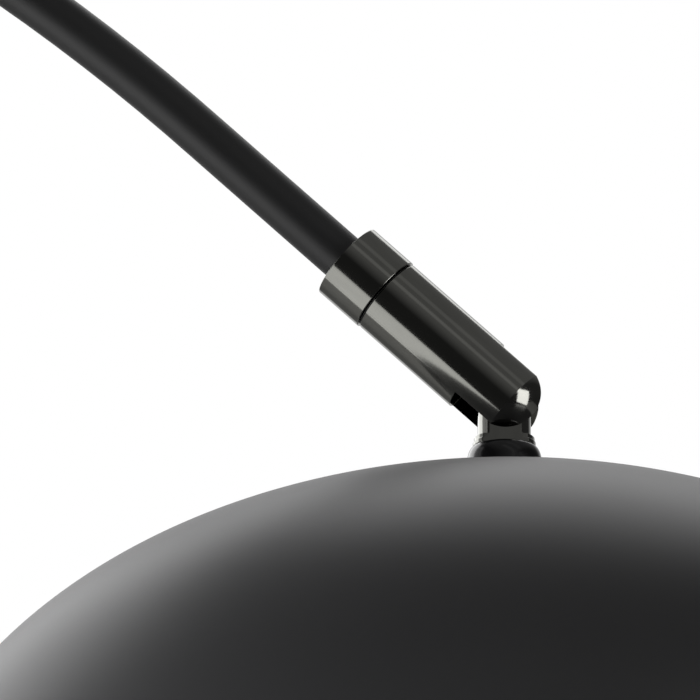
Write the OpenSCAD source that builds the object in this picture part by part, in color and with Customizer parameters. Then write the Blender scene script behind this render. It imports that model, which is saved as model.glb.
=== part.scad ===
// Arc floor lamp: marble base, two-tube pole, swept arc arm, ball-ended tilt joint, dome shade.
// The origin is the centre of the base's underside, on the floor. +Z is up, the arm reaches along +X.

/* [Base] */
// Diameter of the marble disc
base_d = 360; // [300:5:440]
// Thickness of the marble disc
base_h = 60; // [45:1:80]
// Radius of the disc's upper edge
base_round = 5; // [2:1:8]
// Thickness of the felt pad under the marble
felt_h = 3; // [2:0.5:5]
// Width of marble left bare around the felt pad
felt_inset = 6; // [3:1:12]
// Diameter of the recess under the disc that holds the nut
recess_d = 64; // [56:1:80]
// Depth of that recess
recess_h = 22; // [22:1:26]
// Diameter of the drilled lead channel and of the gland's body
channel_d = 12; // [11:0.5:13]
// Bore of the cable gland
gland_bore = 7; // [5:0.5:8]
// Diameter of the gland's outer lip
gland_lip_d = 18; // [16:1:20]
// Length of the gland inside the channel
gland_len = 14; // [10:1:20]
// Diameter of the hollow tie stud
stud_d = 12; // [11:0.5:13]
// Width across the flats of the tie nut
nut_af = 19; // [17:1:24]
// Height of the tie nut
nut_h = 9; // [7:0.5:9]
// Diameter of the steel washer under the disc
washer_d = 44; // [36:1:52]
// Thickness of that washer
washer_h = 3; // [2:0.5:3]

/* [Pole] */
// Diameter of the pole tubes
pole_d = 22; // [19:0.5:27]
// Wall of the pole tubes
pole_wall = 1.5; // [1.2:0.1:2]
// Length of the lower pole tube
lower_len = 520; // [300:5:650]
// Length of the upper pole tube
upper_len = 520; // [300:5:650]
// Diameter of the foot flange on the marble
foot_d = 96; // [80:1:120]
// Thickness of the foot flange
foot_h = 6; // [4:0.5:8]
// Height of the foot's hub
hub_h = 42; // [34:1:55]
// Wall of the foot's hub around the pole
hub_wall = 5; // [3:0.5:8]
// Length of each plug that joins two tubes
plug_len = 30; // [20:1:40]
// Height of the ring between the two pole tubes
coupler_h = 6; // [4:0.5:10]
// How far a coupler or joiner ring stands out from its tube
ring_over = 1.2; // [0.6:0.1:2]
// Height of the swivel socket at the pole's top
socket_h = 46; // [38:1:60]
// Wall of the swivel socket around its bush
socket_wall = 4.5; // [3.5:0.5:6]
// Wall of the plastic swivel bush
bush_wall = 1.5; // [1:0.1:2]
// Diameter of the lock knob
knob_d = 24; // [20:1:30]
// Length of the lock knob
knob_h = 15; // [12:1:20]
// Number of finger flutes round the knob
knob_flutes = 8; // [6:1:12]
// Diameter of the lock screw
lock_d = 6; // [5:0.5:7]
// Height of the lock screw above the foot of its socket
lock_rise = 25.3; // [20:0.1:30]

/* [Arc] */
// Diameter of the arc tube
tube_d = 16; // [14:0.5:20]
// Wall of the arc tube
tube_wall = 1.2; // [1:0.1:1.5]
// Radius of the arc's centre line
arc_r = 685; // [500:5:850]
// Angle of the arm's end below the horizontal, in degrees
arm_drop = 42.5; // [30:0.5:55]
// Straight stretch of tube that shows before the end collar
arm_straight = 67; // [40:1:100]
// Straight stretch of tube that shows above the root collar
root_straight = 10; // [5:1:40]
// Angle along the arc at which its two tubes join, in degrees
join_at = 64; // [50:1:80]
// Length of the arc joiner's ring
joiner_ring = 5; // [3:0.5:8]
// Diameter of the grub screws in the collars and the joiner
grub_d = 4; // [3:0.5:5]

/* [End joint] */
// Length of the end collar
collar_len = 17.2; // [14:0.1:24]
// How far the collars stand out from the barrel, in radius
collar_over = 0.3; // [0:0.1:1]
// Diameter of the barrel
barrel_d = 26.6; // [22:0.2:32]
// Length of the barrel from the pivot to its rear face
barrel_len = 51.9; // [46:0.1:70]
// How far the ball end's radius exceeds the barrel's
ball_over = 0.5; // [0.3:0.1:1.5]
// Width of the groove between collar and barrel
groove_w = 0.6; // [0.5:0.1:1]
// Thickness of the washer in the groove
groove_washer = 0.3; // [0.2:0.05:0.3]
// Diameter of the swivel spindle
spindle_d = 12; // [10:0.5:13]
// Length of the spindle inside the barrel
spindle_len = 23; // [18:1:26]
// Width of the slot in the ball end
slot_w = 14.5; // [12:0.1:15]
// Diameter of the pivot screw
pivot_d = 5; // [4:0.5:5]
// Diameter of the pivot screw's head
pivot_head_d = 9; // [8:0.5:10]
// Diameter of the friction washers
friction_d = 12.8; // [11:0.2:14]
// Thickness of the friction washers
friction_t = 1; // [0.8:0.1:1.2]
// Diameter of the tongue
tongue_d = 17.4; // [15:0.1:19]
// Diameter of the flange at the tongue's foot
flange_d = 20.6; // [19:0.1:22]
// Thickness of that flange
flange_h = 3; // [2:0.1:3]

/* [Shade] */
// Outer diameter of the dome
shade_d = 400; // [330:1:500]
// Height of the dome from crown to rim
shade_h = 140; // [115:1:170]
// Wall of the dome
shade_wall = 1.2; // [1:0.1:1.5]
// Radius of the rolled rim
rim_r = 1.6; // [1.2:0.1:2]
// Radius of the flat crown under the cap
crown_r = 14; // [13:0.5:20]
// Diameter of the cap above the dome
cap_d = 24.4; // [22:0.1:27]
// Gap between the ball end and the cap
cap_gap = 3; // [1.5:0.1:5]
// Height of the cap
cap_h = 17.3; // [14:0.1:24]
// Width of the cap's rounded shoulder
shoulder_w = 2.4; // [1:0.1:3]
// Height of the cap's rounded shoulder
shoulder_h = 5; // [3:0.1:8]

/* [Lamp holder and bulb] */
// Diameter of the hollow threaded nipple
nipple_d = 10; // [9:0.5:10]
// Bore of the nipple
nipple_bore = 7; // [6:0.5:7]
// Width of flat crown left bare round the washer inside it
crown_bare = 1; // [0.5:0.1:3]
// Thickness of that washer
crown_washer_h = 1.5; // [1:0.1:2]
// Width across the flats of the lock nut
lock_nut_af = 14; // [13:0.5:16]
// Height of the lock nut
lock_nut_h = 4; // [3:0.5:5]
// Diameter of the lamp holder
holder_d = 40; // [38:0.5:46]
// Wall of the lamp holder
holder_wall = 2; // [1.5:0.1:2.5]
// Height of the holder's cap
holder_cap_h = 18; // [16:1:24]
// Height of the holder's shell
holder_shell_h = 30; // [28:1:34]
// Thickness of the ceramic insert
insert_h = 7; // [6:0.5:8]
// Diameter of the bulb's screw cap
bulb_cap_d = 26.2; // [26:0.1:26.6]
// Length of the bulb from contact to crown
bulb_len = 98; // [90:1:100]
// Diameter of the bulb's glass
bulb_d = 55; // [45:1:60]
// Wall of the bulb's glass
glass_wall = 1; // [0.8:0.1:1.2]

/* [Fits] */
// Radial clearance of every shaft, plug and screw in its hole
fit = 0.05; // [0.03:0.01:0.08]
// Clearance between faces that pass each other
face_gap = 0.3; // [0.3:0.05:0.5]
// Small chamfer on turned edges
edge = 0.5; // [0.3:0.1:0.8]
// How far a straight stretch is swaged over the arc that it continues
swage = 0.1; // [0.05:0.01:0.15]
// Diameter of the lead inside the tubes
lead_d = 5; // [4:0.5:5]

/* [Hidden] */
$fn = 96;

// Cutters reach this far past the face that they open
over = 1;
// A straight stretch runs this far onto the arc
lap = 0.5;
// Segments in a rounded edge and in a dome's curve
round_steps = 8;
dome_steps = 36;

// Base and pole levels
base_z = felt_h;
base_top = base_z + base_h;
recess_top = base_z + recess_h;
channel_z = base_z + recess_h / 2;
gland_lip_h = 3;
spot_depth = 2;
lip_room = 1;
stud_room = 1;
stud_over = 1;
stud_low = recess_top - washer_h - nut_h - stud_over;
lead_r = lead_d / 2;
lead_room = 1;
lead_way_r = lead_r + lead_room;
lead_low = base_z + lead_way_r;
lead_drop_x = recess_d / 2 - 2 * lead_way_r;
base_chamfer = 1;
foot_round = 2;
foot_fillet = 3;
foot_web = 8;
pole_z = base_top + foot_web;
coupler_z = pole_z + lower_len;
upper_z = coupler_z + coupler_h;
socket_z = upper_z + upper_len;
socket_top = socket_z + socket_h;
bush_lip_h = 1.5;
socket_floor = 6;
bush_seat = socket_z + socket_floor;
bush_lip_inset = 1;
collar_z = socket_top + bush_lip_h + face_gap;
pole_r = pole_d / 2;
pole_bore_r = pole_r - pole_wall;
wire_bore_r = 5;

// Arc tube, with its foot standing in the bush
tube_r = tube_d / 2;
tube_bore_r = tube_r - tube_wall;
end_r = tube_r + swage;
end_bore_r = tube_bore_r - swage;
bush_r = end_r + fit + bush_wall;
socket_r = bush_r + socket_wall;
foot_gap = 2;
arc_foot = bush_seat + foot_gap;
arc_z = collar_z + collar_len + root_straight;
arc_sweep = 90 + arm_drop;
lock_z = socket_z + lock_rise;
flute_r = 2.4;
flute_out = 1;
knob_chamfer = 1;
knob_cap = 3;
root_grub_z = collar_z + collar_len / 2;

// End joint, measured back along the arm from the pivot
barrel_r = barrel_d / 2;
ball_r = barrel_r + ball_over;
collar_r = barrel_r + collar_over;
collar_start = barrel_len + groove_w;
collar_end = collar_start + collar_len;
collar_web = 6;
grub_at = collar_end - 6;
grub_sunk = 1;
tube_end = collar_start + collar_web;
arm_len = collar_end + arm_straight;
spindle_r = spindle_d / 2;
spindle_tip = barrel_len - spindle_len;
spindle_bore_r = lead_r + 0.5;
groove_depth = 1;
spindle_groove = spindle_r - groove_depth;
stop_at = spindle_tip + 7;
stop_r = 1.5;
stop_sunk = 0.6;
pivot = [
    arc_r * (1 - cos(arc_sweep)) + arm_len * sin(arc_sweep),
    0,
    arc_z + arc_r * sin(arc_sweep) + arm_len * cos(arc_sweep)
];

// Slot, cheeks and pivot screw, measured across the arm
slot_room = 1.7;
slot_top = flange_d / 2 + slot_room;
cheek_t = barrel_r - slot_w / 2;
recess_t = 0.8;
pivot_r = pivot_d / 2;
pivot_head_h = cheek_t / 2;
pivot_head_y = barrel_r - face_gap - pivot_head_h;
pivot_tip_y = barrel_r - cheek_t / 3;
pivot_tip_gap = 0.5;
pivot_key = 3;
tongue_t = slot_w - 2 * face_gap;
tongue_r = tongue_d / 2;
nipple_r = nipple_d / 2;

// Heights below the pivot
cap_top = ball_r + cap_gap;
crown = cap_top + cap_h;
crown_under = crown + shade_wall;
nut_top = crown_under + crown_washer_h;
holder_top = nut_top + lock_nut_h + face_gap;
neck_h = 6;
shell_top = holder_top + holder_cap_h;
shell_low = shell_top + holder_shell_h;
insert_low = shell_top + insert_h;
contact_h = 1.5;
bulb_top = insert_low + contact_h;
bulb_low = bulb_top + bulb_len;
bulb_cap_len = 26;
bulb_r = bulb_d / 2;
bulb_neck_r = bulb_cap_d / 2 - 0.6;
nipple_low = holder_top + neck_h;
nipple_high = 7.5;
thin_lead_r = 1.5;
thin_way_r = 1.9;
lead_side = pivot_r + thin_way_r + 0.8;
lead_turn = nipple_high - thin_way_r;
holder_round = 5;
pin_r = 1.6;
pin_side = 8;
shell_wall = 0.6;
shell_rise = 4;
contact_r = 4;
cap_tip_r = 8;
cap_tip_h = 2.5;
cap_tip_slope = 3.5;
glass_seat = 3;
holder_r = holder_d / 2;

// Points of a round arc, from one angle to another
function arc_points(r, x, y, from, to, steps = round_steps) =
    [for (i = [0:steps]) let(a = from + (to - from) * i / steps)
        [x + r * cos(a), y + r * sin(a)]];

// Points of the dome's half outline, an ellipse cut off at the flat crown, inset by a wall
function dome_points(inset) =
    let(a = shade_d / 2 - inset, start = asin(crown_r / a))
    let(b = (shade_h - rim_r - inset) / cos(start))
    [for (i = [0:dome_steps - 1]) let(t = start + (90 - start) * i / dome_steps)
        [a * sin(t), b * cos(t)]];

// Points of the bulb's half outline: a straight seat in the cap, an eased neck, then a ball
function bulb_points(inset) =
    let(r = bulb_r - inset, neck = bulb_neck_r - inset, ball_z = bulb_low - bulb_r)
    let(neck_z = bulb_top + bulb_cap_len)
    concat(
        [[neck, -neck_z + glass_seat]],
        [for (i = [0:round_steps]) let(u = i / round_steps, ease = u * u * (3 - 2 * u))
            [neck + (r - neck) * ease, -(neck_z + (ball_z - neck_z) * u)]],
        [for (i = [1:2 * round_steps]) let(a = 90 * i / (2 * round_steps))
            [r * cos(a), -(ball_z + r * sin(a))]]
    );

module rod(r, low, high) {
    translate([0, 0, low]) cylinder(r = r, h = high - low);
}

module bore(r, low, high) {
    rod(r, low - over, high + over);
}

module tube(r, bore_r, low, high) {
    difference() {
        rod(r, low, high);
        bore(bore_r, low, high);
    }
}

// A turned ring with chamfered outer edges
module turned(r, bore_r, low, high, cut = edge) {
    rotate_extrude() polygon([
        [bore_r, low], [r - cut, low], [r, low + cut],
        [r, high - cut], [r - cut, high], [bore_r, high]
    ]);
}

module hexagon(af, low, high) {
    translate([0, 0, low]) cylinder(r = af / 2 / cos(30), h = high - low, $fn = 6);
}

// A rod along the local Y axis, between two places on it
module rod_y(r, from, to) {
    rotate([-90, 0, 0]) rod(r, from, to);
}

// The same along the local X axis
module rod_x(r, from, to) {
    rotate([0, 90, 0]) rod(r, from, to);
}

// A stretch of the arc between two sweep angles, solid when its bore is 0
module arc_rod(r, bore_r, from, to) {
    translate([arc_r, 0, arc_z]) rotate([90, 0, 0]) rotate([0, 0, 180 - to])
        rotate_extrude(angle = to - from) translate([arc_r, 0]) difference() {
            circle(r);
            if (bore_r > 0) circle(bore_r);
        }
}

// Local +Z along the arc's heading, local +X towards its centre
module on_arc(sweep) {
    translate([arc_r, 0, arc_z]) rotate([0, sweep, 0]) translate([-arc_r, 0, 0]) children();
}

// Origin at the pivot, local +Z back along the arm
module on_arm() {
    translate(pivot) rotate([0, arc_sweep + 180, 0]) children();
}

module on_head() {
    translate(pivot) children();
}

// Angle along the arc that a length on its centre line takes
function arc_angle(len) = len / arc_r * 180 / PI;

// ---- Base ----

module felt_pad() {
    color("#2a2a2c") rod(base_d / 2 - felt_inset, 0, felt_h);
}

module marble_base() {
    r = base_d / 2;
    color("#1c1c1e") difference() {
        rotate_extrude() polygon(concat(
            [[0, base_z], [r - base_chamfer, base_z], [r, base_z + base_chamfer]],
            arc_points(base_round, r - base_round, base_top - base_round, 0, 90),
            [[0, base_top]]
        ));
        rod(recess_d / 2, base_z - over, recess_top);
        bore(stud_d / 2 + stud_room, base_z, base_top);
        translate([0, 0, channel_z]) rod_x(channel_d / 2 + fit, -r - over, 0);
        translate([0, 0, channel_z]) rod_x(gland_lip_d / 2 + lip_room, -r - over, -r + spot_depth);
    }
}

module cable_gland() {
    seat = -base_d / 2 + spot_depth;
    color("#18181a") translate([0, 0, channel_z]) difference() {
        union() {
            rod_x(channel_d / 2, seat, seat + gland_len);
            rod_x(gland_lip_d / 2, seat - gland_lip_h, seat);
        }
        rod_x(gland_bore / 2, seat - gland_lip_h - over, seat + gland_len + over);
    }
}

module tie_stud() {
    color("#9a9c9e") tube(stud_d / 2, lead_way_r, stud_low, pole_z);
}

module base_washer() {
    color("#a6a8aa") tube(washer_d / 2, stud_d / 2 + fit, recess_top - washer_h, recess_top);
}

module tie_nut() {
    top = recess_top - washer_h;
    color("#a6a8aa") difference() {
        hexagon(nut_af, top - nut_h, top);
        bore(stud_d / 2 + fit, top - nut_h, top);
    }
}

// ---- Pole ----

module pole_foot() {
    hub_r = pole_r + fit + hub_wall;
    color("#4a4b47") difference() {
        rotate_extrude() polygon([
            [0, base_top], [foot_d / 2, base_top], [foot_d / 2, base_top + foot_h - foot_round],
            [foot_d / 2 - foot_round, base_top + foot_h], [hub_r + foot_fillet, base_top + foot_h],
            [hub_r, base_top + foot_h + foot_fillet], [hub_r, base_top + hub_h - edge],
            [hub_r - edge, base_top + hub_h], [0, base_top + hub_h]
        ]);
        bore(stud_d / 2 + fit, base_top, pole_z);
        rod(pole_r + fit, pole_z, base_top + hub_h + over);
    }
}

module lower_pole() {
    color("#2b2b2b") tube(pole_r, pole_bore_r, pole_z, coupler_z);
}

module pole_coupler() {
    color("#4a4b47") difference() {
        union() {
            turned(pole_r + ring_over, 0, coupler_z, upper_z);
            rod(pole_bore_r - fit, coupler_z - plug_len, upper_z + plug_len);
        }
        bore(wire_bore_r, coupler_z - plug_len, upper_z + plug_len);
    }
}

module upper_pole() {
    color("#2b2b2b") tube(pole_r, pole_bore_r, upper_z, socket_z);
}

module swivel_socket() {
    color("#4a4b47") difference() {
        union() {
            turned(socket_r, 0, socket_z, socket_top);
            rod(pole_bore_r - fit, socket_z - plug_len, socket_z + over);
        }
        bore(wire_bore_r, socket_z - plug_len, bush_seat);
        rod(bush_r, bush_seat, socket_top + over);
        translate([0, 0, lock_z]) rod_x(lock_d / 2 + fit, -socket_r - over, 0);
    }
}

module swivel_bush() {
    color("#161618") difference() {
        union() {
            rod(bush_r, bush_seat, socket_top);
            rod(socket_r - bush_lip_inset, socket_top, socket_top + bush_lip_h);
        }
        bore(end_r + fit, bush_seat, socket_top + bush_lip_h);
        translate([0, 0, lock_z]) rod_x(lock_d / 2 + fit, -socket_r, 0);
    }
}

// The lead runs from just inside the gland, dips under the stud's end, then goes up the pole
module pole_lead() {
    inner_end = -base_d / 2 + spot_depth + gland_len + lead_room;
    color("#141414") union() {
        translate([0, 0, channel_z]) rod_x(lead_r, inner_end, -lead_drop_x);
        translate([-lead_drop_x, 0, channel_z]) sphere(r = lead_r);
        translate([-lead_drop_x, 0, 0]) rod(lead_r, lead_low, channel_z);
        translate([-lead_drop_x, 0, lead_low]) sphere(r = lead_r);
        translate([0, 0, lead_low]) rod_x(lead_r, -lead_drop_x, 0);
        translate([0, 0, lead_low]) sphere(r = lead_r);
        rod(lead_r, lead_low, bush_seat);
    }
}

module lock_knob() {
    near = socket_r + face_gap;
    color("#1a1a1c") translate([0, 0, lock_z]) rotate([0, -90, 0]) difference() {
        turned(knob_d / 2, lock_d / 2, near, near + knob_h, knob_chamfer);
        for (i = [0:knob_flutes - 1])
            rotate([0, 0, i * 360 / knob_flutes]) translate([knob_d / 2 + flute_out, 0, 0])
                bore(flute_r, near, near + knob_h);
    }
}

module lock_screw() {
    color("#a6a8aa") translate([0, 0, lock_z])
        rod_x(lock_d / 2, -(socket_r + face_gap + knob_h - knob_cap), -(end_r + face_gap));
}

// ---- Arc ----

module root_collar() {
    color("#4a4b47") difference() {
        turned(collar_r, 0, collar_z, collar_z + collar_len);
        bore(end_r + fit, collar_z, collar_z + collar_len);
        translate([0, 0, root_grub_z]) rod_y(grub_d / 2 + fit, 0, collar_r + over);
    }
}

module root_grub() {
    color("#8a8c8e") translate([0, 0, root_grub_z])
        rod_y(grub_d / 2, tube_r - tube_wall / 2, collar_r - grub_sunk);
}

module lower_arc() {
    color("#2b2b2b") difference() {
        union() {
            tube(end_r, end_bore_r, arc_foot, arc_z + lap);
            arc_rod(tube_r, tube_bore_r, 0, join_at - arc_angle(joiner_ring / 2));
        }
        translate([0, 0, root_grub_z]) rod_y(grub_d / 2 + fit, 0, tube_r + over);
        on_arc(join_at - arc_angle(plug_len / 2)) rod_x(grub_d / 2 + fit, 0, tube_r + over);
    }
}

module arc_joiner() {
    ring = arc_angle(joiner_ring / 2);
    plug = arc_angle(plug_len);
    color("#4a4b47") difference() {
        union() {
            arc_rod(tube_r + ring_over, 0, join_at - ring, join_at + ring);
            arc_rod(tube_bore_r - fit, 0, join_at - plug, join_at + plug);
        }
        arc_rod(lead_way_r, 0, join_at - plug - 1, join_at + plug + 1);
        for (side = [-1, 1])
            on_arc(join_at + side * plug / 2) rod_x(grub_d / 2 + fit, 0, tube_r + over);
    }
}

module joiner_grubs() {
    color("#8a8c8e") for (side = [-1, 1])
        on_arc(join_at + side * arc_angle(plug_len) / 2)
            rod_x(grub_d / 2, lead_way_r + face_gap, tube_r - face_gap);
}

module upper_arc() {
    color("#2b2b2b") difference() {
        union() {
            arc_rod(tube_r, tube_bore_r, join_at + arc_angle(joiner_ring / 2), arc_sweep);
            on_arm() tube(end_r, end_bore_r, tube_end, arm_len + lap);
        }
        on_arc(join_at + arc_angle(plug_len / 2)) rod_x(grub_d / 2 + fit, 0, tube_r + over);
        on_arm() translate([0, 0, grub_at]) rod_y(grub_d / 2 + fit, 0, tube_r + over);
    }
}

// ---- End joint ----

module end_collar() {
    color("#4a4b47") on_arm() difference() {
        turned(collar_r, 0, collar_start, collar_end);
        rod(end_r + fit, tube_end, collar_end + over);
        bore(spindle_r + fit, collar_start, tube_end);
        translate([0, 0, grub_at]) rod_y(grub_d / 2 + fit, 0, collar_r + over);
    }
}

module collar_grub() {
    color("#8a8c8e") on_arm() translate([0, 0, grub_at])
        rod_y(grub_d / 2, tube_bore_r - 1, collar_r - grub_sunk);
}

module swivel_spindle() {
    color("#8a8c8e") on_arm() difference() {
        union() {
            rod(spindle_r, spindle_tip, tube_end);
            rod(end_bore_r - fit, tube_end, tube_end + plug_len);
        }
        bore(spindle_bore_r, spindle_tip, tube_end + plug_len);
        difference() {
            rod(spindle_r + over, stop_at - stop_r - face_gap, stop_at + stop_r + face_gap);
            bore(spindle_groove, stop_at - 2 * stop_r, stop_at + 2 * stop_r);
        }
        translate([0, 0, grub_at])
            rod_y(grub_d / 2 + fit, tube_bore_r - 1.2, tube_r);
    }
}

module arc_lead() {
    color("#141414") union() {
        rod(lead_r + swage, arc_foot + 1, arc_z + lap);
        arc_rod(lead_r, 0, 0, arc_sweep);
        on_arm() rod(lead_r + swage, spindle_tip + 1, arm_len + lap);
    }
}

module groove_washer_ring() {
    color("#101011") on_arm()
        tube(barrel_r - 1, spindle_r + face_gap, barrel_len, barrel_len + groove_washer);
}

module knuckle_barrel() {
    color("#4a4b47") on_arm() difference() {
        rotate_extrude() intersection() {
            union() {
                circle(ball_r);
                polygon([
                    [0, 0], [ball_r, 0], [barrel_r, edge], [barrel_r, barrel_len - edge],
                    [barrel_r - edge, barrel_len], [0, barrel_len]
                ]);
            }
            translate([0, -ball_r - over]) square([barrel_r, barrel_len + ball_r + 2 * over]);
        }
        translate([-ball_r - over, -slot_w / 2, -ball_r - over])
            cube([2 * (ball_r + over), slot_w, ball_r + over + slot_top]);
        bore(lead_way_r, slot_top, spindle_tip);
        rod(spindle_r + fit, spindle_tip - 1, barrel_len + over);
        rod_y(pivot_r + fit, -pivot_tip_y, pivot_head_y + over);
        rod_y(pivot_head_d / 2 + face_gap, pivot_head_y, barrel_r + over);
        rod_y(friction_d / 2 + fit, -slot_w / 2 - recess_t, slot_w / 2 + recess_t);
        translate([0, 0, stop_at]) rod_y(stop_r + fit, spindle_r - 1, barrel_r + over);
    }
}

module stop_screw() {
    color("#8a8c8e") on_arm() translate([0, 0, stop_at])
        rod_y(stop_r, spindle_groove + face_gap, barrel_r - stop_sunk);
}

module pivot_screw() {
    color("#6a6b68") on_arm() difference() {
        union() {
            rod_y(pivot_r, -pivot_tip_y + pivot_tip_gap, pivot_head_y + over);
            rotate([-90, 0, 0])
                turned(pivot_head_d / 2, 0, pivot_head_y, pivot_head_y + pivot_head_h, 0.4);
        }
        rotate([-90, 0, 0]) hexagon(pivot_key, pivot_head_y + pivot_head_h / 3, barrel_r + over);
    }
}

module friction_washers() {
    inner = slot_w / 2 + recess_t - friction_t;
    color("#d8d6cc") on_arm() for (side = [0, 180])
        rotate([0, 0, side]) rotate([-90, 0, 0])
            tube(friction_d / 2, pivot_r + 2 * fit, inner, inner + friction_t);
}

module barrel_lead() {
    color("#141414") on_arm() rod(lead_r, slot_top - 2, spindle_tip - 1);
}

// A round bar with two flats, its top rounded about the pivot
module tongue() {
    round_r = tongue_r + 0.1;
    color("#55564f") on_head() difference() {
        intersection() {
            rotate([90, 0, 0]) linear_extrude(height = tongue_t, center = true) union() {
                circle(round_r);
                translate([-round_r, -cap_top]) square([2 * round_r, cap_top]);
                translate([-flange_d / 2 - over, -cap_top]) square([flange_d + 2 * over, flange_h]);
            }
            union() {
                rod(tongue_r, -cap_top, tongue_r + over);
                rod(flange_d / 2, -cap_top, -cap_top + flange_h);
            }
        }
        rod_y(pivot_r + fit, -slot_w, slot_w);
        rod(nipple_r + fit, -cap_top - over, -lead_turn + thin_way_r);
        translate([lead_side, 0, 0]) rod(thin_way_r, -nipple_high, tongue_r + over);
    }
}

// ---- Shade ----

module shade_cap() {
    r = cap_d / 2;
    color("#0f0f10") on_head() rotate_extrude() polygon(concat(
        [[nipple_r + fit, -crown], [r, -crown]],
        [for (i = [0:2 * round_steps]) let(a = 90 * i / (2 * round_steps))
            [r - shoulder_w * (1 - cos(a)), -cap_top - shoulder_h * (1 - sin(a))]],
        [[nipple_r + fit, -cap_top]]
    ));
}

module nipple() {
    color("#a6a8aa") on_head() tube(nipple_r, nipple_bore / 2, -nipple_low, -nipple_high);
}

module dome_shade() {
    rise = shade_h - rim_r;
    rim_x = (shade_d - shade_wall) / 2;
    open = acos(shade_wall / 2 / rim_r);
    inner = dome_points(shade_wall);
    color("#3d3e40") on_head() rotate_extrude() translate([0, -crown - rise])
        polygon(concat(
            [[nipple_r + fit, rise]],
            dome_points(0),
            arc_points(rim_r, rim_x, 0, open, -180 - open, 3 * round_steps),
            [for (i = [dome_steps - 1:-1:0]) inner[i]],
            [[nipple_r + fit, rise - shade_wall]]
        ));
}

module crown_washer() {
    color("#a6a8aa") on_head() tube(crown_r - crown_bare, nipple_r + fit, -nut_top, -crown_under);
}

module lock_nut() {
    color("#a6a8aa") on_head() difference() {
        hexagon(lock_nut_af, -nut_top - lock_nut_h, -nut_top);
        bore(nipple_r + fit, -nut_top - lock_nut_h, -nut_top);
    }
}

// ---- Lamp holder and bulb ----

module holder_cap() {
    neck_r = nipple_r + 3;
    inner_r = holder_r - holder_wall;
    color("#1a1a1b") on_head() rotate_extrude() polygon([
        [nipple_r + fit, -holder_top], [neck_r, -holder_top], [neck_r, -holder_top - neck_h],
        [holder_r - holder_round, -holder_top - neck_h],
        [holder_r, -holder_top - neck_h - holder_round],
        [holder_r, -shell_top], [inner_r, -shell_top], [inner_r, -holder_top - neck_h - 6],
        [inner_r - 4, -holder_top - neck_h - 2], [nipple_r + fit, -holder_top - neck_h - 2]
    ]);
}

module holder_shell() {
    inner_r = holder_r - holder_wall;
    color("#1a1a1b") on_head() tube(holder_r, inner_r, -shell_low, -shell_top);
}

module holder_insert() {
    color("#e4e0d6") on_head() difference() {
        rod(holder_r - holder_wall - fit, -insert_low, -shell_top);
        for (side = [-1, 1])
            translate([side * pin_side, 0, 0]) bore(pin_r, -insert_low, -shell_top);
    }
}

module screw_shell() {
    bore_r = bulb_cap_d / 2 + face_gap;
    color("#c0a060") on_head() tube(bore_r + shell_wall, bore_r, -shell_low + shell_rise, -insert_low);
}

module centre_contact() {
    color("#c0a060") on_head() rod(contact_r, -insert_low - contact_h + face_gap, -insert_low);
}

// The lead passes beside the pivot screw and down the nipple to the holder's insert
module head_lead() {
    color("#141414") on_head() union() {
        translate([lead_side, 0, 0]) rod(thin_lead_r, -lead_turn, tongue_r - thin_way_r);
        translate([lead_side, 0, -lead_turn]) sphere(r = thin_lead_r);
        translate([0, 0, -lead_turn]) rod_x(thin_lead_r, 0, lead_side);
        translate([0, 0, -lead_turn]) sphere(r = thin_lead_r);
        rod(thin_lead_r, -shell_top + face_gap, -lead_turn);
    }
}

module bulb_cap() {
    r = bulb_cap_d / 2;
    color("#b4b6b8") on_head() rotate_extrude() polygon([
        [0, -bulb_top - cap_tip_h], [cap_tip_r, -bulb_top - cap_tip_h],
        [r, -bulb_top - cap_tip_h - cap_tip_slope],
        [r, -bulb_top - bulb_cap_len], [bulb_neck_r, -bulb_top - bulb_cap_len],
        [bulb_neck_r, -bulb_top - bulb_cap_len + glass_seat],
        [0, -bulb_top - bulb_cap_len + glass_seat]
    ]);
}

module bulb_contact() {
    color("#1c1c1e") on_head() rotate_extrude() polygon([
        [0, -bulb_top], [contact_r, -bulb_top], [cap_tip_r, -bulb_top - cap_tip_h],
        [0, -bulb_top - cap_tip_h]
    ]);
}

module bulb_glass() {
    outer = bulb_points(0);
    inner = bulb_points(glass_wall);
    last = len(inner) - 1;
    color("#f4f2ec") on_head() rotate_extrude()
        polygon(concat(outer, [for (i = [last:-1:0]) inner[i]]));
}

felt_pad();
marble_base();
cable_gland();
tie_stud();
base_washer();
tie_nut();
pole_foot();
lower_pole();
pole_coupler();
upper_pole();
swivel_socket();
swivel_bush();
pole_lead();
lock_knob();
lock_screw();
root_collar();
root_grub();
lower_arc();
arc_joiner();
joiner_grubs();
upper_arc();
end_collar();
collar_grub();
swivel_spindle();
arc_lead();
groove_washer_ring();
knuckle_barrel();
stop_screw();
pivot_screw();
friction_washers();
barrel_lead();
tongue();
shade_cap();
nipple();
dome_shade();
crown_washer();
lock_nut();
holder_cap();
holder_shell();
holder_insert();
screw_shell();
centre_contact();
head_lead();
bulb_cap();
bulb_contact();
bulb_glass();
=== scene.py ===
"""Arc floor lamp: its tilt joint, swept tubes, dome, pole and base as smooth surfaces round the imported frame.
Every length in the script is in metres, and +X runs from the pole to the shade."""

import math

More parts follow.
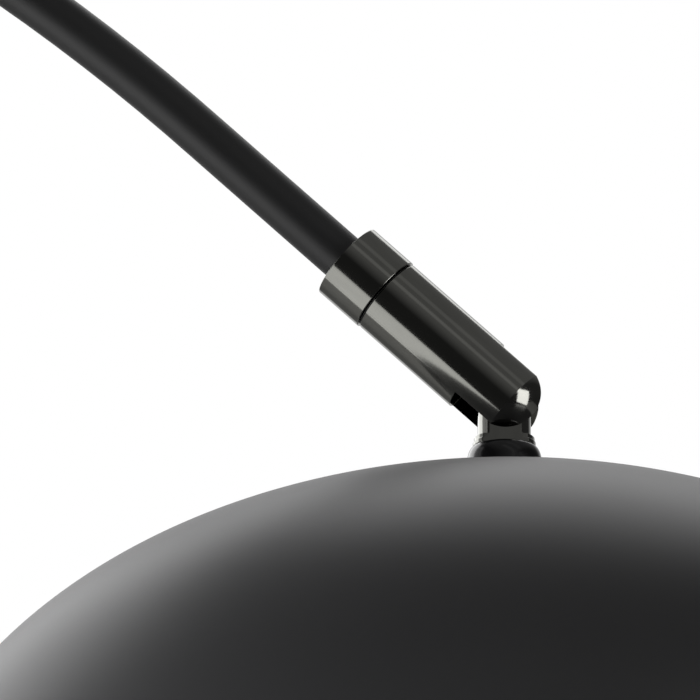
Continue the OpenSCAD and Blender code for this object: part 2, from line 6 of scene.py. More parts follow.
import bmesh
import bpy
import numpy as np
from bpy.props import FloatProperty, FloatVectorProperty, PointerProperty
from mathutils import Matrix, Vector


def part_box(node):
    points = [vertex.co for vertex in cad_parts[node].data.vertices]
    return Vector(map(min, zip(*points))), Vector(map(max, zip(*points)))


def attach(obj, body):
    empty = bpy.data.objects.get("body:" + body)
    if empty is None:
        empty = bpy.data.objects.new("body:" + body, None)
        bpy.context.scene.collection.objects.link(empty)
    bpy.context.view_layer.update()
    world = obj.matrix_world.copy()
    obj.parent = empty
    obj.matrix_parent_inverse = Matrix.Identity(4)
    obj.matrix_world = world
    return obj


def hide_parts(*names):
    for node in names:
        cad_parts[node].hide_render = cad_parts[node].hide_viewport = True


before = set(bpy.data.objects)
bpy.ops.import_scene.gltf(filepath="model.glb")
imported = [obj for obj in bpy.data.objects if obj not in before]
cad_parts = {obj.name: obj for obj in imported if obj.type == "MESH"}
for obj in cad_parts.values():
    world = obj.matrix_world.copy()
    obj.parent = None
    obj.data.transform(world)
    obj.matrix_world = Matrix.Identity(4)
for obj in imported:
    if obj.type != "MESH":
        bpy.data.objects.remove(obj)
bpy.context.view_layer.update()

bl_info = {
    "name": "Arc Floor Lamp",
    "version": (1, 0, 0),
    "blender": (4, 5, 0),
    "location": "3D View > Sidebar > Lamp",
    "description": "Builds an arc floor lamp with a ball-ended tilt joint and a dome shade",
    "category": "Add Mesh",
}

MM = 0.001
FINE = 160  # segments round a part that is seen close to
ROUND = 96  # segments round any other part
TURN = 2 * math.pi
X, Y, Z = np.eye(3)


# ---- Places, from the frame ----

def low(node):
    """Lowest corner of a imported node."""
    return np.array(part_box(node)[0])


def high(node):
    """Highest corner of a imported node."""
    return np.array(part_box(node)[1])


def middle(node):
    """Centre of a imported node's box."""
    return (low(node) + high(node)) / 2


class Axis:
    """A local frame: an origin, the direction of its heights, and the direction of its zero angle."""

    def __init__(self, origin, along, zero):
        self.origin = np.array(origin, float)
        self.along = np.array(along, float)
        self.zero = np.array(zero, float)
        self.quarter = np.cross(self.along, self.zero)

    def at(self, radius, angle, height):
        """Origin, plus a height along the axis, plus a radius at an angle round it."""
        return self.point(radius * np.cos(angle), radius * np.sin(angle), height)

    def point(self, x, y, z):
        """Origin, plus x towards the zero angle, y towards the quarter turn and z along the axis."""
        x, y, z = (a[..., None] for a in np.broadcast_arrays(x, y, z))
        return self.origin + x * self.zero + y * self.quarter + z * self.along


PIVOT = middle("friction_washers")
DROP = math.radians(42.5)  # the arm's end heads this far below the horizontal
HEADING = np.array([math.cos(DROP), 0.0, -math.sin(DROP)])
ARM_UP = np.array([math.sin(DROP), 0.0, math.cos(DROP)])
UPRIGHT = Axis((0, 0, 0), Z, X)
ARM = Axis(PIVOT, -HEADING, ARM_UP)  # heights run back along the arm from the pivot
HEAD = Axis(PIVOT, Z, X)  # heights run up from the pivot


# ---- Outlines, grids and meshes ----

def ring(count, start=0.0):
    """Angles round a whole turn, the first and last at the same place."""
    return start + np.linspace(0, TURN, count + 1)


def outline(corners, steps=6):
    """A line through corners (radius, height, fillet): each corner with a fillet becomes an arc that leaves
    both of its sides at a tangent, with one more point close by on each side to hold the shading flat."""
    at = np.array([c[:2] for c in corners], float)
    line = []
    for i, corner in enumerate(corners):
        fillet = corner[2] if len(corner) > 2 else 0
        if not fillet:
            line.append(at[i][None])
            continue
        a, b = at[i - 1] - at[i], at[(i + 1) % len(at)] - at[i]
        a, b = a / np.linalg.norm(a), b / np.linalg.norm(b)
        half = math.acos(np.clip(a @ b, -1, 1)) / 2
        centre = at[i] + (a + b) / np.linalg.norm(a + b) * fillet / math.sin(half)
        first = at[i] + a * fillet / math.tan(half) - centre
        last = at[i] + b * fillet / math.tan(half) - centre
        spread = math.pi - 2 * half
        t = np.linspace(0, 1, steps + 1)[:, None]
        arc = (np.sin((1 - t) * spread) * first + np.sin(t * spread) * last) / math.sin(spread)
        hold = 0.05 * fillet
        line.append(np.concatenate([[centre + first + a * hold], centre + arc, [centre + last + b * hold]]))
    return np.concatenate(line)


def turned(axis, line, angles):
    """A line of (radius, height) carried round an axis."""
    line = np.asarray(line, float)
    return axis.at(line[:, 0, None], np.asarray(angles)[None, :], line[:, 1, None])


def closed(line):
    """The same line with its first point again at its end."""
    return np.concatenate([line, line[:1]])


def drilled(surface, radius, angles, heights, span, hole):
    """A tube's side over angles and heights, with a round blind hole. The block of the grid round the hole,
    between two indices of angle and two of height, gives way to rings that go from the block's square outline
    to the hole's circle, both measured in the plane that touches the tube there. The hole's wall goes down to
    a flat floor. surface(angle, height) is the tube's point; hole is (angle, height, radius, depth)."""
    a0, a1, h0, h1 = span
    turn, level, bore, depth = hole
    grids = [
        surface(angles[None, :], heights[:h0 + 1, None]),
        surface(angles[None, :a0 + 1], heights[h0:h1 + 1, None]),
        surface(angles[None, a1:], heights[h0:h1 + 1, None]),
        surface(angles[None, :], heights[h1:, None]),
    ]
    across, up = angles[a0:a1 + 1], heights[h0:h1 + 1]
    side_a = np.concatenate([across, np.full(len(up) - 1, across[-1]), across[-2::-1],
                             np.full(len(up) - 1, across[0])])
    side_h = np.concatenate([np.full(len(across), up[0]), up[1:], np.full(len(across) - 1, up[-1]),
                             up[-2::-1]])
    x, z = radius * np.sin(side_a - turn), side_h - level
    away = np.hypot(x, z)
    shrink = np.linspace(1, bore / away, 6)
    patch = surface(turn + np.arcsin(x * shrink / radius), level + z * shrink)
    centre = surface(np.array(turn), np.array(level))
    right = surface(np.array(turn + 1e-4), np.array(level)) - surface(np.array(turn - 1e-4), np.array(level))
    along = surface(np.array(turn), np.array(level + 1e-5)) - surface(np.array(turn), np.array(level - 1e-5))
    right, along = right / np.linalg.norm(right), along / np.linalg.norm(along)
    floor = centre - depth * np.cross(right, along)
    circle = (x * bore / away)[:, None] * right + (z * bore / away)[:, None] * along
    wall = np.stack([patch[-1], floor + circle])
    base = np.stack([floor + circle, np.broadcast_to(floor, circle.shape)])
    return [*grids, patch, wall, base]


def six_sides(across, angle):
    """Distance from a hexagon's middle to its side, at an angle: half its width over the cosine of the angle
    from the nearest side's middle."""
    return across / 2 / np.cos((angle + TURN / 12) % (TURN / 6) - TURN / 12)


def piece(name, body, stands_for, finish, grids, crease=35, bevel=None, parts=None):
    """One closed mesh from grids of points: their edges are merged where they meet, faces are turned
    outwards, sharp edges may be bevelled, and edges sharper than the crease angle, in degrees, stay
    crisp. parts gives each grid's place in the list of finishes."""
    finishes = finish if isinstance(finish, (list, tuple)) else [finish]
    parts = parts or [0] * len(grids)
    quads, start = [], 0
    for g in grids:
        index = start + np.arange(g.shape[0] * g.shape[1]).reshape(g.shape[:2])
        quads.append(np.stack([index[:-1, :-1], index[1:, :-1], index[1:, 1:], index[:-1, 1:]], -1)
                     .reshape(-1, 4))
        start += index.size
    mesh = bpy.data.meshes.new(name)
    mesh.from_pydata(np.concatenate([g.reshape(-1, 3) for g in grids]), [], np.concatenate(quads))
    share = np.concatenate([np.full(len(q), p, np.int32) for q, p in zip(quads, parts)])
    mesh.polygons.foreach_set("material_index", share)
    made = bmesh.new()
    made.from_mesh(mesh)
    bmesh.ops.remove_doubles(made, verts=made.verts, dist=2e-6)
    bmesh.ops.dissolve_degenerate(made, edges=made.edges, dist=1e-7)
    bmesh.ops.recalc_face_normals(made, faces=made.faces)
    if bevel:
        width, least = bevel
        sharp = [e for e in made.edges if e.is_manifold and e.calc_face_angle(0) > math.radians(least)]
        bmesh.ops.bevel(made, geom=sharp, offset=width, segments=2, profile=0.5, affect="EDGES",
                        clamp_overlap=False)
    made.to_mesh(mesh)
    made.free()
    mesh.shade_smooth()
    mesh.set_sharp_from_angle(angle=math.radians(crease))
    obj = bpy.data.objects.new(name, mesh)
    bpy.context.scene.collection.objects.link(obj)
    for f in finishes:
        mesh.materials.append(f)
    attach(obj, body)
    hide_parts(*stands_for)
    return obj


def dress(finish, *nodes):
    """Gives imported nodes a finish."""
    for node in nodes:
        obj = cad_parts[node]
        obj.data.materials.clear()
        obj.data.materials.append(finish)


# ---- Shader tools ----

class Wire:
    """A shader socket that does sums: an expression on wires adds the Math nodes it needs."""

    def __init__(self, finish, socket):
        self.finish, self.socket = finish, socket

    def sum(self, operation, a, b):
        return self.finish.add("ShaderNodeMath", {"operation": operation}, {0: a, 1: b})[0]

    def __add__(self, other): return self.sum("ADD", self, other)
    def __radd__(self, other): return self.sum("ADD", other, self)
    def __sub__(self, other): return self.sum("SUBTRACT", self, other)
    def __rsub__(self, other): return self.sum("SUBTRACT", other, self)
    def __mul__(self, other): return self.sum("MULTIPLY", self, other)
    def __rmul__(self, other): return self.sum("MULTIPLY", other, self)
    def __truediv__(self, other): return self.sum("DIVIDE", self, other)
    def __rtruediv__(self, other): return self.sum("DIVIDE", other, self)
    def __pow__(self, other): return self.sum("POWER", self, other)


class Made:
    """A node that was added: its outputs by number or name."""

    def __init__(self, finish, node):
        self.finish, self.node = finish, node

    def __getitem__(self, key):
        return Wire(self.finish, self.node.outputs[key])


class Finish:
    """A material, or a world, and the nodes in it."""

    def __init__(self, name, kind="materials"):
        self.material = getattr(bpy.data, kind).new(name)
        self.material.use_nodes = True
        self.tree = self.material.node_tree
        self.tree.nodes.clear()

    def add(self, kind, settings=None, inputs=None):
        """Adds a node of a kind. Its settings come first, a ramp's stops among them, then the values or wires
        of its sockets, by number or name."""
        node = self.tree.nodes.new(kind)
        for key, value in (settings or {}).items():
            if key == "stops":
                ramp = node.color_ramp.elements
                while len(ramp) < len(value):
                    ramp.new(0.5)
                for element, (place, shade) in zip(ramp, value):
                    element.position = place
                    element.color = (shade, shade, shade, 1) if isinstance(shade, float) else (*shade, 1)
            else:
                setattr(node, key, value)
        for key, value in (inputs or {}).items():
            if isinstance(value, Wire):
                self.tree.links.new(value.socket, node.inputs[key])
            else:
                node.inputs[key].default_value = value
        return Made(self, node)

    def place(self, centre=(0, 0, 0), tilt=(0, 0, 0), stretch=(1, 1, 1)):
        """Object coordinates, moved to a centre, tilted and stretched."""
        at = self.add("ShaderNodeTexCoord")["Object"]
        moved = self.add("ShaderNodeMapping", {"vector_type": "TEXTURE"},
                         {"Vector": at, "Location": tuple(centre), "Rotation": tilt})[0]
        return self.add("ShaderNodeMapping", None, {"Vector": moved, "Scale": stretch})[0]

    def noise(self, at, size, detail=3.0, rough=0.5, bend=0.0):
        """Noise from 0 to 1 with spots of about a given size."""
        return self.add("ShaderNodeTexNoise", None, {"Vector": at, "Scale": 1 / size, "Detail": detail,
                                                     "Roughness": rough, "Distortion": bend})["Fac"]

    def ramp(self, value, *stops):
        """A value or colour that follows stops (place, shade)."""
        return self.add("ShaderNodeValToRGB", {"stops": stops}, {"Fac": value})["Color"]

    def mix(self, share, a, b):
        """Colour a, turning to colour b as the share goes to 1."""
        a, b = ((*c, 1) if isinstance(c, tuple) and len(c) == 3 else c for c in (a, b))
        return self.add("ShaderNodeMix", {"data_type": "RGBA"}, {0: share, 6: a, 7: b})[2]

    def bump(self, height, depth, strength=1.0):
        """A normal from a height between 0 and 1, which stands for a depth in metres."""
        return self.add("ShaderNodeBump", None, {"Strength": strength, "Distance": depth,
                                                 "Height": height})[0]

    def close(self, **sockets):
        """Adds the surface shader and the output; a socket's name has its spaces as underlines."""
        inputs = {k.replace("_", " "): v for k, v in sockets.items()}
        surface = self.add("ShaderNodeBsdfPrincipled", None, inputs)[0]
        self.add("ShaderNodeOutputMaterial", None, {"Surface": surface})
        return self.material


def rgb(colour):
    return tuple(float(c) for c in colour)


# ---- Finishes ----

def satin_powder(colours):
    """Satin black powder coat of the tubes: fine orange-peel grain, cloudy gloss and a few handling marks."""
    f = Finish("satin_powder")
    at = f.place()
    grain, cloud, rub = f.noise(at, 0.5 * MM, 2), f.noise(at, 60 * MM, 3), f.noise(at, 9 * MM, 5, 0.65)
    marks = f.ramp(rub, (0.62, 0.0), (0.8, 1.0))
    dark = rgb(colours.powder)
    base = f.mix(cloud * 0.5 + marks * 0.15, dark, tuple(c * 1.5 + 0.004 for c in dark))
    return f.close(Base_Color=base, Roughness=0.4 + cloud * 0.1 + grain * 0.06 - marks * 0.05,
                   Normal=f.bump(grain, 0.02 * MM, 0.5), Specular_IOR_Level=0.5)


def black_nickel(colours, name="black_nickel", centre=(0, 0, 0), tilt=(0, 0, 0)):
    """Polished black nickel on turned steel: faint turning lines round the axis, soft smears and light specks
    of wear. The local heights run along the mapped Z."""
    f = Finish(name)
    at = f.place(centre, tilt)
    lines = f.noise(f.place(centre, tilt, (0.02, 0.02, 1)), 0.12 * MM, 2)
    smear = f.noise(f.place(centre, tilt, (1, 1, 0.25)), 6 * MM, 4, 0.6)
    speck = f.ramp(f.noise(at, 0.9 * MM, 3, 0.6), (0.66, 0.0), (0.74, 1.0))
    dark = rgb(colours.nickel)
    base = f.mix(smear, tuple(c * 0.8 for c in dark), tuple(c * 1.2 for c in dark))
    return f.close(Base_Color=base, Metallic=1.0, Roughness=0.07 + smear * 0.08 + speck * 0.05,
                   Normal=f.bump(lines, 0.003 * MM, 0.25))


def gloss_black():
    """Gloss black lacquer of the shade's cap, with a slight orange peel and dust."""
    f = Finish("gloss_black")
    at = f.place()
    peel, dust = f.noise(at, 1.6 * MM, 2), f.noise(at, 0.35 * MM, 4, 0.7)
    spots = f.ramp(dust, (0.68, 0.0), (0.78, 1.0))
    base = f.mix(spots * 0.2 + peel * 0.1, (0.008, 0.008, 0.009), (0.03, 0.03, 0.032))
    return f.close(Base_Color=base, Roughness=0.16 + spots * 0.2 + peel * 0.06,
                   Normal=f.bump(peel, 0.01 * MM, 0.4), Coat_Weight=0.3, Coat_Roughness=0.06,
                   Specular_IOR_Level=0.35)


def shade_paint(colours):
    """Matt dark grey paint outside the dome: fine spray texture, broad faint clouding and fine lighter flecks.
    """
    f = Finish("shade_paint")
    at = f.place(HEAD.origin)
    spray, cloud, fleck = f.noise(at, 0.4 * MM, 3), f.noise(at, 90 * MM, 3), f.noise(at, 2.5 * MM, 4)
    grey = rgb(colours.shade)
    base = f.mix(cloud * 0.5 + fleck * 0.2, tuple(c * 0.9 for c in grey), tuple(c * 1.14 for c in grey))
    return f.close(Base_Color=base, Roughness=0.36 + spray * 0.06 + cloud * 0.04,
                   Normal=f.bump(spray, 0.012 * MM, 0.4), Specular_IOR_Level=0.2)


def reflector_white():
    """Soft white enamel inside the dome, warmer in broad random clouds."""
    f = Finish("reflector_white")
    at = f.place(HEAD.origin)
    spray, cloud = f.noise(at, 0.5 * MM, 3), f.noise(at, 70 * MM, 3)
    base = f.mix(cloud, (0.8, 0.79, 0.76), (0.72, 0.7, 0.65))
    return f.close(Base_Color=base, Roughness=0.42 + spray * 0.1, Normal=f.bump(spray, 0.015 * MM, 0.4))


def black_marble(colours):
    """Polished black marble: bent white veins in two sizes, grey clouds, and a fine crystal grain."""
    f = Finish("black_marble")
    at = f.place()
    bend = f.noise(at, 110 * MM, 4, 0.55)
    swirl = f.add("ShaderNodeTexNoise", {"noise_dimensions": "3D"},
                  {"Vector": at, "Scale": 4.5, "Detail": 7.0, "Roughness": 0.55, "Distortion": 0.9})["Fac"]
    fine = f.add("ShaderNodeTexNoise", None,
                 {"Vector": f.place(stretch=(1, 0.6, 1.4)), "Scale": 11.0, "Detail": 8.0, "Roughness": 0.58,
                  "Distortion": 1.2})["Fac"]
    vein = f.ramp(swirl, (0.0, 0.0), (0.49, 0.0), (0.5, 1.0), (0.51, 0.0), (1.0, 0.0))
    thread = f.ramp(fine, (0.0, 0.0), (0.494, 0.0), (0.5, 0.5), (0.506, 0.0), (1.0, 0.0))
    presence = f.ramp(bend, (0.42, 0.0), (0.62, 1.0))
    cloud = f.mix(f.noise(at, 70 * MM, 5) * 0.7, rgb(colours.marble), (0.03, 0.03, 0.033))
    base = f.mix((vein + thread) * presence, cloud, (0.55, 0.54, 0.52))
    crystal = f.noise(at, 0.8 * MM, 2)
    return f.close(Base_Color=base, Roughness=0.1 + crystal * 0.06 + vein * 0.08,
                   Normal=f.bump(crystal, 0.004 * MM, 0.2), Coat_Weight=0.5, Coat_Roughness=0.05)


def felt_black():
    """Pressed felt: matted fibres in two sizes and pale lint."""
    f = Finish("felt_black")
    at = f.place()
    fibre, mat = f.noise(at, 0.5 * MM, 6, 0.75, 1.5), f.noise(at, 3 * MM, 4, 0.6)
    lint = f.ramp(f.noise(at, 1.1 * MM, 3, 0.6, 2.0), (0.66, 0.0), (0.72, 1.0))
    base = f.mix(fibre * 0.6 + lint * 0.4, (0.012, 0.012, 0.013), (0.09, 0.09, 0.092))
    return f.close(Base_Color=base, Roughness=0.95, Normal=f.bump(fibre + mat, 0.25 * MM, 0.8),
                   Sheen_Weight=0.3, Sheen_Roughness=0.5)


def grained(name, dark, light, size, roughness, depth=0.02 * MM, coat=0.0):
    """Moulded plastic, rubber or ceramic: a fine grain over a faint mottle."""
    f = Finish(name)
    at = f.place()
    grain, mottle = f.noise(at, size, 4, 0.6), f.noise(at, 14 * size, 3)
    base = f.mix(mottle * 0.7 + grain * 0.3, dark, light)
    return f.close(Base_Color=base, Roughness=roughness + grain * 0.1 + mottle * 0.05,
                   Normal=f.bump(grain, depth, 0.5), Coat_Weight=coat)


def bare_metal(name, dark, light, roughness, spot=4 * MM, tarnish=0.5):
    """Plated or bare metal: drawn scratches, blotches of tarnish, and a rough patch here and there."""
    f = Finish(name)
    at = f.place()
    scratch = f.noise(f.place(stretch=(1, 1, 0.05)), 0.3 * MM, 3)
    blotch = f.noise(at, spot, 5, 0.6)
    base = f.mix(blotch * tarnish + scratch * 0.2, light, dark)
    return f.close(Base_Color=base, Metallic=1.0, Roughness=roughness + blotch * 0.15 + scratch * 0.08,
                   Normal=f.bump(scratch, 0.004 * MM, 0.3))


def opal_glass():
    """Opal glass of the bulb: milky, faintly mottled, with a polished skin."""
    f = Finish("opal_glass")
    at = f.place(HEAD.origin)
    haze, ripple = f.noise(at, 9 * MM, 4), f.noise(at, 22 * MM, 2)
    base = f.mix(haze, (0.86, 0.85, 0.82), (0.78, 0.77, 0.74))
    return f.close(Base_Color=base, Roughness=0.14 + haze * 0.08, Normal=f.bump(ripple, 0.03 * MM, 0.15),
                   Coat_Weight=0.7, Coat_Roughness=0.03, Subsurface_Weight=0.15, Subsurface_Scale=0.01)


FINISHES = {}


def finish(name):
    """A finish by name, made once."""
    if name in FINISHES:
        return FINISHES[name]
    colours = bpy.context.scene.lamp_colours
    arm_tilt = (0, DROP - math.radians(90), 0)
    makers = {
        "powder": lambda: satin_powder(colours),
        "nickel": lambda: black_nickel(colours),
        "nickel_arm": lambda: black_nickel(colours, "black_nickel_arm", ARM.origin, arm_tilt),
        "gloss": gloss_black,
        "shade": lambda: shade_paint(colours),
        "reflector": reflector_white,
        "marble": lambda: black_marble(colours),
        "felt": felt_black,
        "rubber": lambda: grained("gland_rubber", (0.012,) * 3, (0.03,) * 3, 0.3 * MM, 0.6),
        "polymer": lambda: grained("black_polymer", (0.01,) * 3, (0.026,) * 3, 0.4 * MM, 0.38),
        "sheath": lambda: grained("lead_sheath", (0.012,) * 3, (0.022,) * 3, 0.5 * MM, 0.45),
        "moulded": lambda: grained("moulded_black", (0.011,) * 3, (0.028,) * 3, 0.6 * MM, 0.34),
        "nylon": lambda: grained("nylon", (0.6, 0.59, 0.55), (0.72, 0.7, 0.66), 0.4 * MM, 0.45),
        "ceramic": lambda: grained("white_ceramic", (0.7, 0.68, 0.62), (0.8, 0.78, 0.74), 0.5 * MM, 0.3,
                                   coat=0.4),
        "insulator": lambda: grained("black_glass", (0.006,) * 3, (0.02,) * 3, 0.8 * MM, 0.12, coat=0.5),
        "zinc": lambda: bare_metal("zinc_steel", (0.35, 0.36, 0.36), (0.62, 0.62, 0.6), 0.26),
        "dark_steel": lambda: bare_metal("dark_steel", (0.05, 0.05, 0.048), (0.16, 0.16, 0.15), 0.22),
        "brass": lambda: bare_metal("brass", (0.36, 0.22, 0.08), (0.72, 0.5, 0.22), 0.24),
        "bulb_nickel": lambda: bare_metal("bulb_nickel", (0.45, 0.45, 0.44), (0.7, 0.7, 0.68), 0.2),
        "opal": opal_glass,
    }
    FINISHES[name] = makers[name]()
    return FINISHES[name]


# ---- Sizes and colours ----

def size(name, text, value):
    return FloatProperty(name=name, description=text, default=value, min=0.0, unit="LENGTH", precision=5)


def colour(name, text, value):
    return FloatVectorProperty(name=name, description=text, default=value, subtype="COLOR", min=0.0, max=1.0)


class LampSizes(bpy.types.PropertyGroup):
    arc_radius: size("Arc radius", "Radius of the arc tube's centre line", 0.685)
    tube: size("Tube radius", "Outer radius of the arc tube", 8 * MM)
    tube_bore: size("Tube bore", "Inner radius of the arc tube", 6.8 * MM)
    pole: size("Pole radius", "Outer radius of the pole's tubes", 11 * MM)
    pole_bore: size("Pole bore", "Inner radius of the pole's tubes", 9.5 * MM)
    collar: size("Collar radius", "Outer radius of the two collars", 13.6 * MM)
    barrel: size("Barrel radius", "Outer radius of the tilt joint's barrel", 13.3 * MM)
    barrel_length: size("Barrel length", "From the pivot back to the barrel's rear face", 51.9 * MM)
    ball: size("Ball radius", "Radius of the barrel's ball end, round the pivot", 13.8 * MM)
    slot: size("Slot half width", "Half the width of the slot in the ball end", 7.25 * MM)
    slot_top: size("Slot depth", "How far the slot runs back past the pivot", 12 * MM)
    tongue: size("Tongue radius", "Radius of the tongue's round sides", 8.7 * MM)
    flat: size("Tongue half thickness", "From the tongue's middle to its flats", 6.95 * MM)
    flange: size("Flange radius", "Radius of the flange at the tongue's foot", 10.3 * MM)
    cap: size("Cap radius", "Radius of the cap on the dome", 12.2 * MM)
    dome: size("Dome radius", "Half the outer diameter of the dome", 200 * MM)
    dome_wall: size("Dome wall", "Thickness of the dome's sheet", 1.2 * MM)
    rim: size("Rim radius", "Radius of the dome's rolled rim", 1.6 * MM)


class LampColours(bpy.types.PropertyGroup):
    powder: colour("Tubes", "Powder coat of the tubes", (0.017, 0.017, 0.0175))
    nickel: colour("Fittings", "Black nickel of the turned fittings", (0.2, 0.2, 0.185))
    shade: colour("Shade", "Paint outside the dome", (0.078, 0.078, 0.081))
    marble: colour("Marble", "Ground colour of the marble", (0.008, 0.008, 0.009))


# ---- Stage ----

VIEW_TURN = math.radians(-2)
VIEW_RISE = math.radians(-18.5)
VIEW_AWAY = 2.6


def view_frame():
    """Directions of the view: back to the camera, to its right, and up the picture."""
    back = np.array([math.sin(VIEW_TURN) * math.cos(VIEW_RISE), -math.cos(VIEW_TURN) * math.cos(VIEW_RISE),
                     math.sin(VIEW_RISE)])
    right = np.array([math.cos(VIEW_TURN), math.sin(VIEW_TURN), 0.0])
    return back, right, np.cross(back, right)


def aimed(obj, at, direction, upward=Z):
    """Puts an object at a place, its local -Z along a direction and its local Y as near upward as can be."""
    z = -np.array(direction, float) / np.linalg.norm(direction)
    x = np.cross(upward, z)
    x /= np.linalg.norm(x)
    obj.matrix_world = Matrix(np.vstack([np.stack([x, np.cross(z, x), z, at], 1), [0, 0, 0, 1]]).tolist())


def beside_arm(turn):
    """The direction that a polished rod along the arm mirrors to the camera from where its surface leans away
    from the view by half of a turn, up the picture for a turn above zero."""
    back = view_frame()[0]
    forth = (back @ HEADING) * HEADING
    return math.cos(turn) * (back - forth) + math.sin(turn) * np.cross(back - forth, HEADING) - forth


def softbox(name, direction, away, width, height, strength, upward=Z):
    """A rectangular light that faces the tilt joint from a direction, its height along upward, with a given
    brightness."""
    light = bpy.data.lights.new(name, "AREA")
    light.shape, light.size, light.size_y = "RECTANGLE", width, height
    light.energy = strength * width * height * math.pi
    obj = bpy.data.objects.new(name, light)
    bpy.context.scene.collection.objects.link(obj)
    direction = np.array(direction, float) / np.linalg.norm(direction)
    aimed(obj, PIVOT + direction * away, -direction, upward)
    obj.visible_camera = False
    return obj


def arm_light(name, first, last, away, length, strength):
    """A softbox that polished metal along the arm shows between two turns, in degrees."""
    middle_turn, half = math.radians((first + last) / 2), math.radians(abs(last - first) / 2)
    return softbox(name, beside_arm(middle_turn), away, 2 * away * math.tan(half), length, strength, HEADING)


class LAMP_OT_stage(bpy.types.Operator):
    """Floor, camera, lights and the white surroundings"""
    bl_idname = "lamp.stage"
    bl_label = "Stage"

    def execute(self, context):
        scene = context.scene
        scene.view_settings.view_transform = "Standard"
        back, right, up = view_frame()

        lens = bpy.data.cameras.new("camera")
        lens.sensor_width = 36.0
        lens.lens = 36.0 * VIEW_AWAY / 0.2286  # the picture is 228.6 mm wide at the joint
        lens.clip_end = 100.0
        camera = bpy.data.objects.new("camera", lens)
        scene.collection.objects.link(camera)
        aim = PIVOT - 50.3 * MM * right + 16.0 * MM * up
        aimed(camera, aim + back * VIEW_AWAY, -back)
        scene.camera = camera

        floor_mesh = bpy.data.meshes.new("floor")
        across, along = np.meshgrid(np.linspace(-15, 15, 7), np.linspace(-2.2, 15, 7))
        index = np.arange(49).reshape(7, 7)
        quads = np.stack([index[:-1, :-1], index[:-1, 1:], index[1:, 1:], index[1:, :-1]], -1)
        floor_mesh.from_pydata(np.stack([across, along, across * 0], -1).reshape(-1, 3), [],
                               quads.reshape(-1, 4))
        floor = bpy.data.objects.new("floor", floor_mesh)
        scene.collection.objects.link(floor)
        f = Finish("floor_pale")
        grain = f.noise(f.place(), 4 * MM, 3)
        floor_mesh.materials.append(f.close(Base_Color=f.mix(grain, (0.72, 0.72, 0.71), (0.78, 0.78, 0.77)),
                                            Roughness=0.9))

        arm_light("band_light", -34, -80, 1.1, 1.5, 1.31)
        arm_light("streak_light_low", 42, 51, 2.2, 1.8, 0.17)
        arm_light("streak_light_high", 65, 76, 2.2, 1.8, 0.1)
        softbox("left_light", (-1.0, 0.25, 0.35), 2.5, 2.0, 2.0, 0.6)
        softbox("left_back_light", (-0.6, 0.6, 0.5), 3.0, 2.4, 2.4, 2.2)
        softbox("top_light", (0.1, 0.6, 1.0), 2.4, 1.6, 1.6, 1.4)
        spark = softbox("spark_light", 0.8 * right + 0.1 * up + 0.6 * back, 1.0, 0.6, 0.6, 4.0)
        spark.visible_diffuse = False
        self.surroundings(scene)
        return {"FINISHED"}

    def surroundings(self, scene):
        """White straight at the camera. As light: bright behind the lamp, grey above and to the right,
        and dim on the camera's side."""
        f = Finish("studio", "worlds")
        scene.world = f.material
        at = f.add("ShaderNodeTexCoord")["Generated"]

        def toward(direction):
            direction = np.array(direction, float) / np.linalg.norm(direction)
            return f.add("ShaderNodeVectorMath", {"operation": "DOT_PRODUCT"},
                         {0: at, 1: tuple(direction)})["Value"]

        behind = f.ramp(toward((-0.2, 0.98, 0)), (0.38, 0.0), (0.55, 0.35), (0.75, 0.85), (0.92, 1.0))
        above = f.ramp(toward(beside_arm(math.radians(90))), (0.2, 0.0), (0.6, 0.22))
        ahead = f.ramp(toward(HEADING), (0.05, 1.0), (0.3, 0.1))
        studio = f.add("ShaderNodeBackground", None, {"Strength": behind + above * ahead + 0.045})[0]
        plain = f.add("ShaderNodeBackground", None, {"Color": (1, 1, 1, 1)})[0]
        straight = f.add("ShaderNodeLightPath")["Is Camera Ray"]
        seen = f.add("ShaderNodeMixShader", None, {0: straight, 1: studio, 2: plain})[0]
        f.add("ShaderNodeOutputWorld", None, {"Surface": seen})


# ---- Base and pole ----

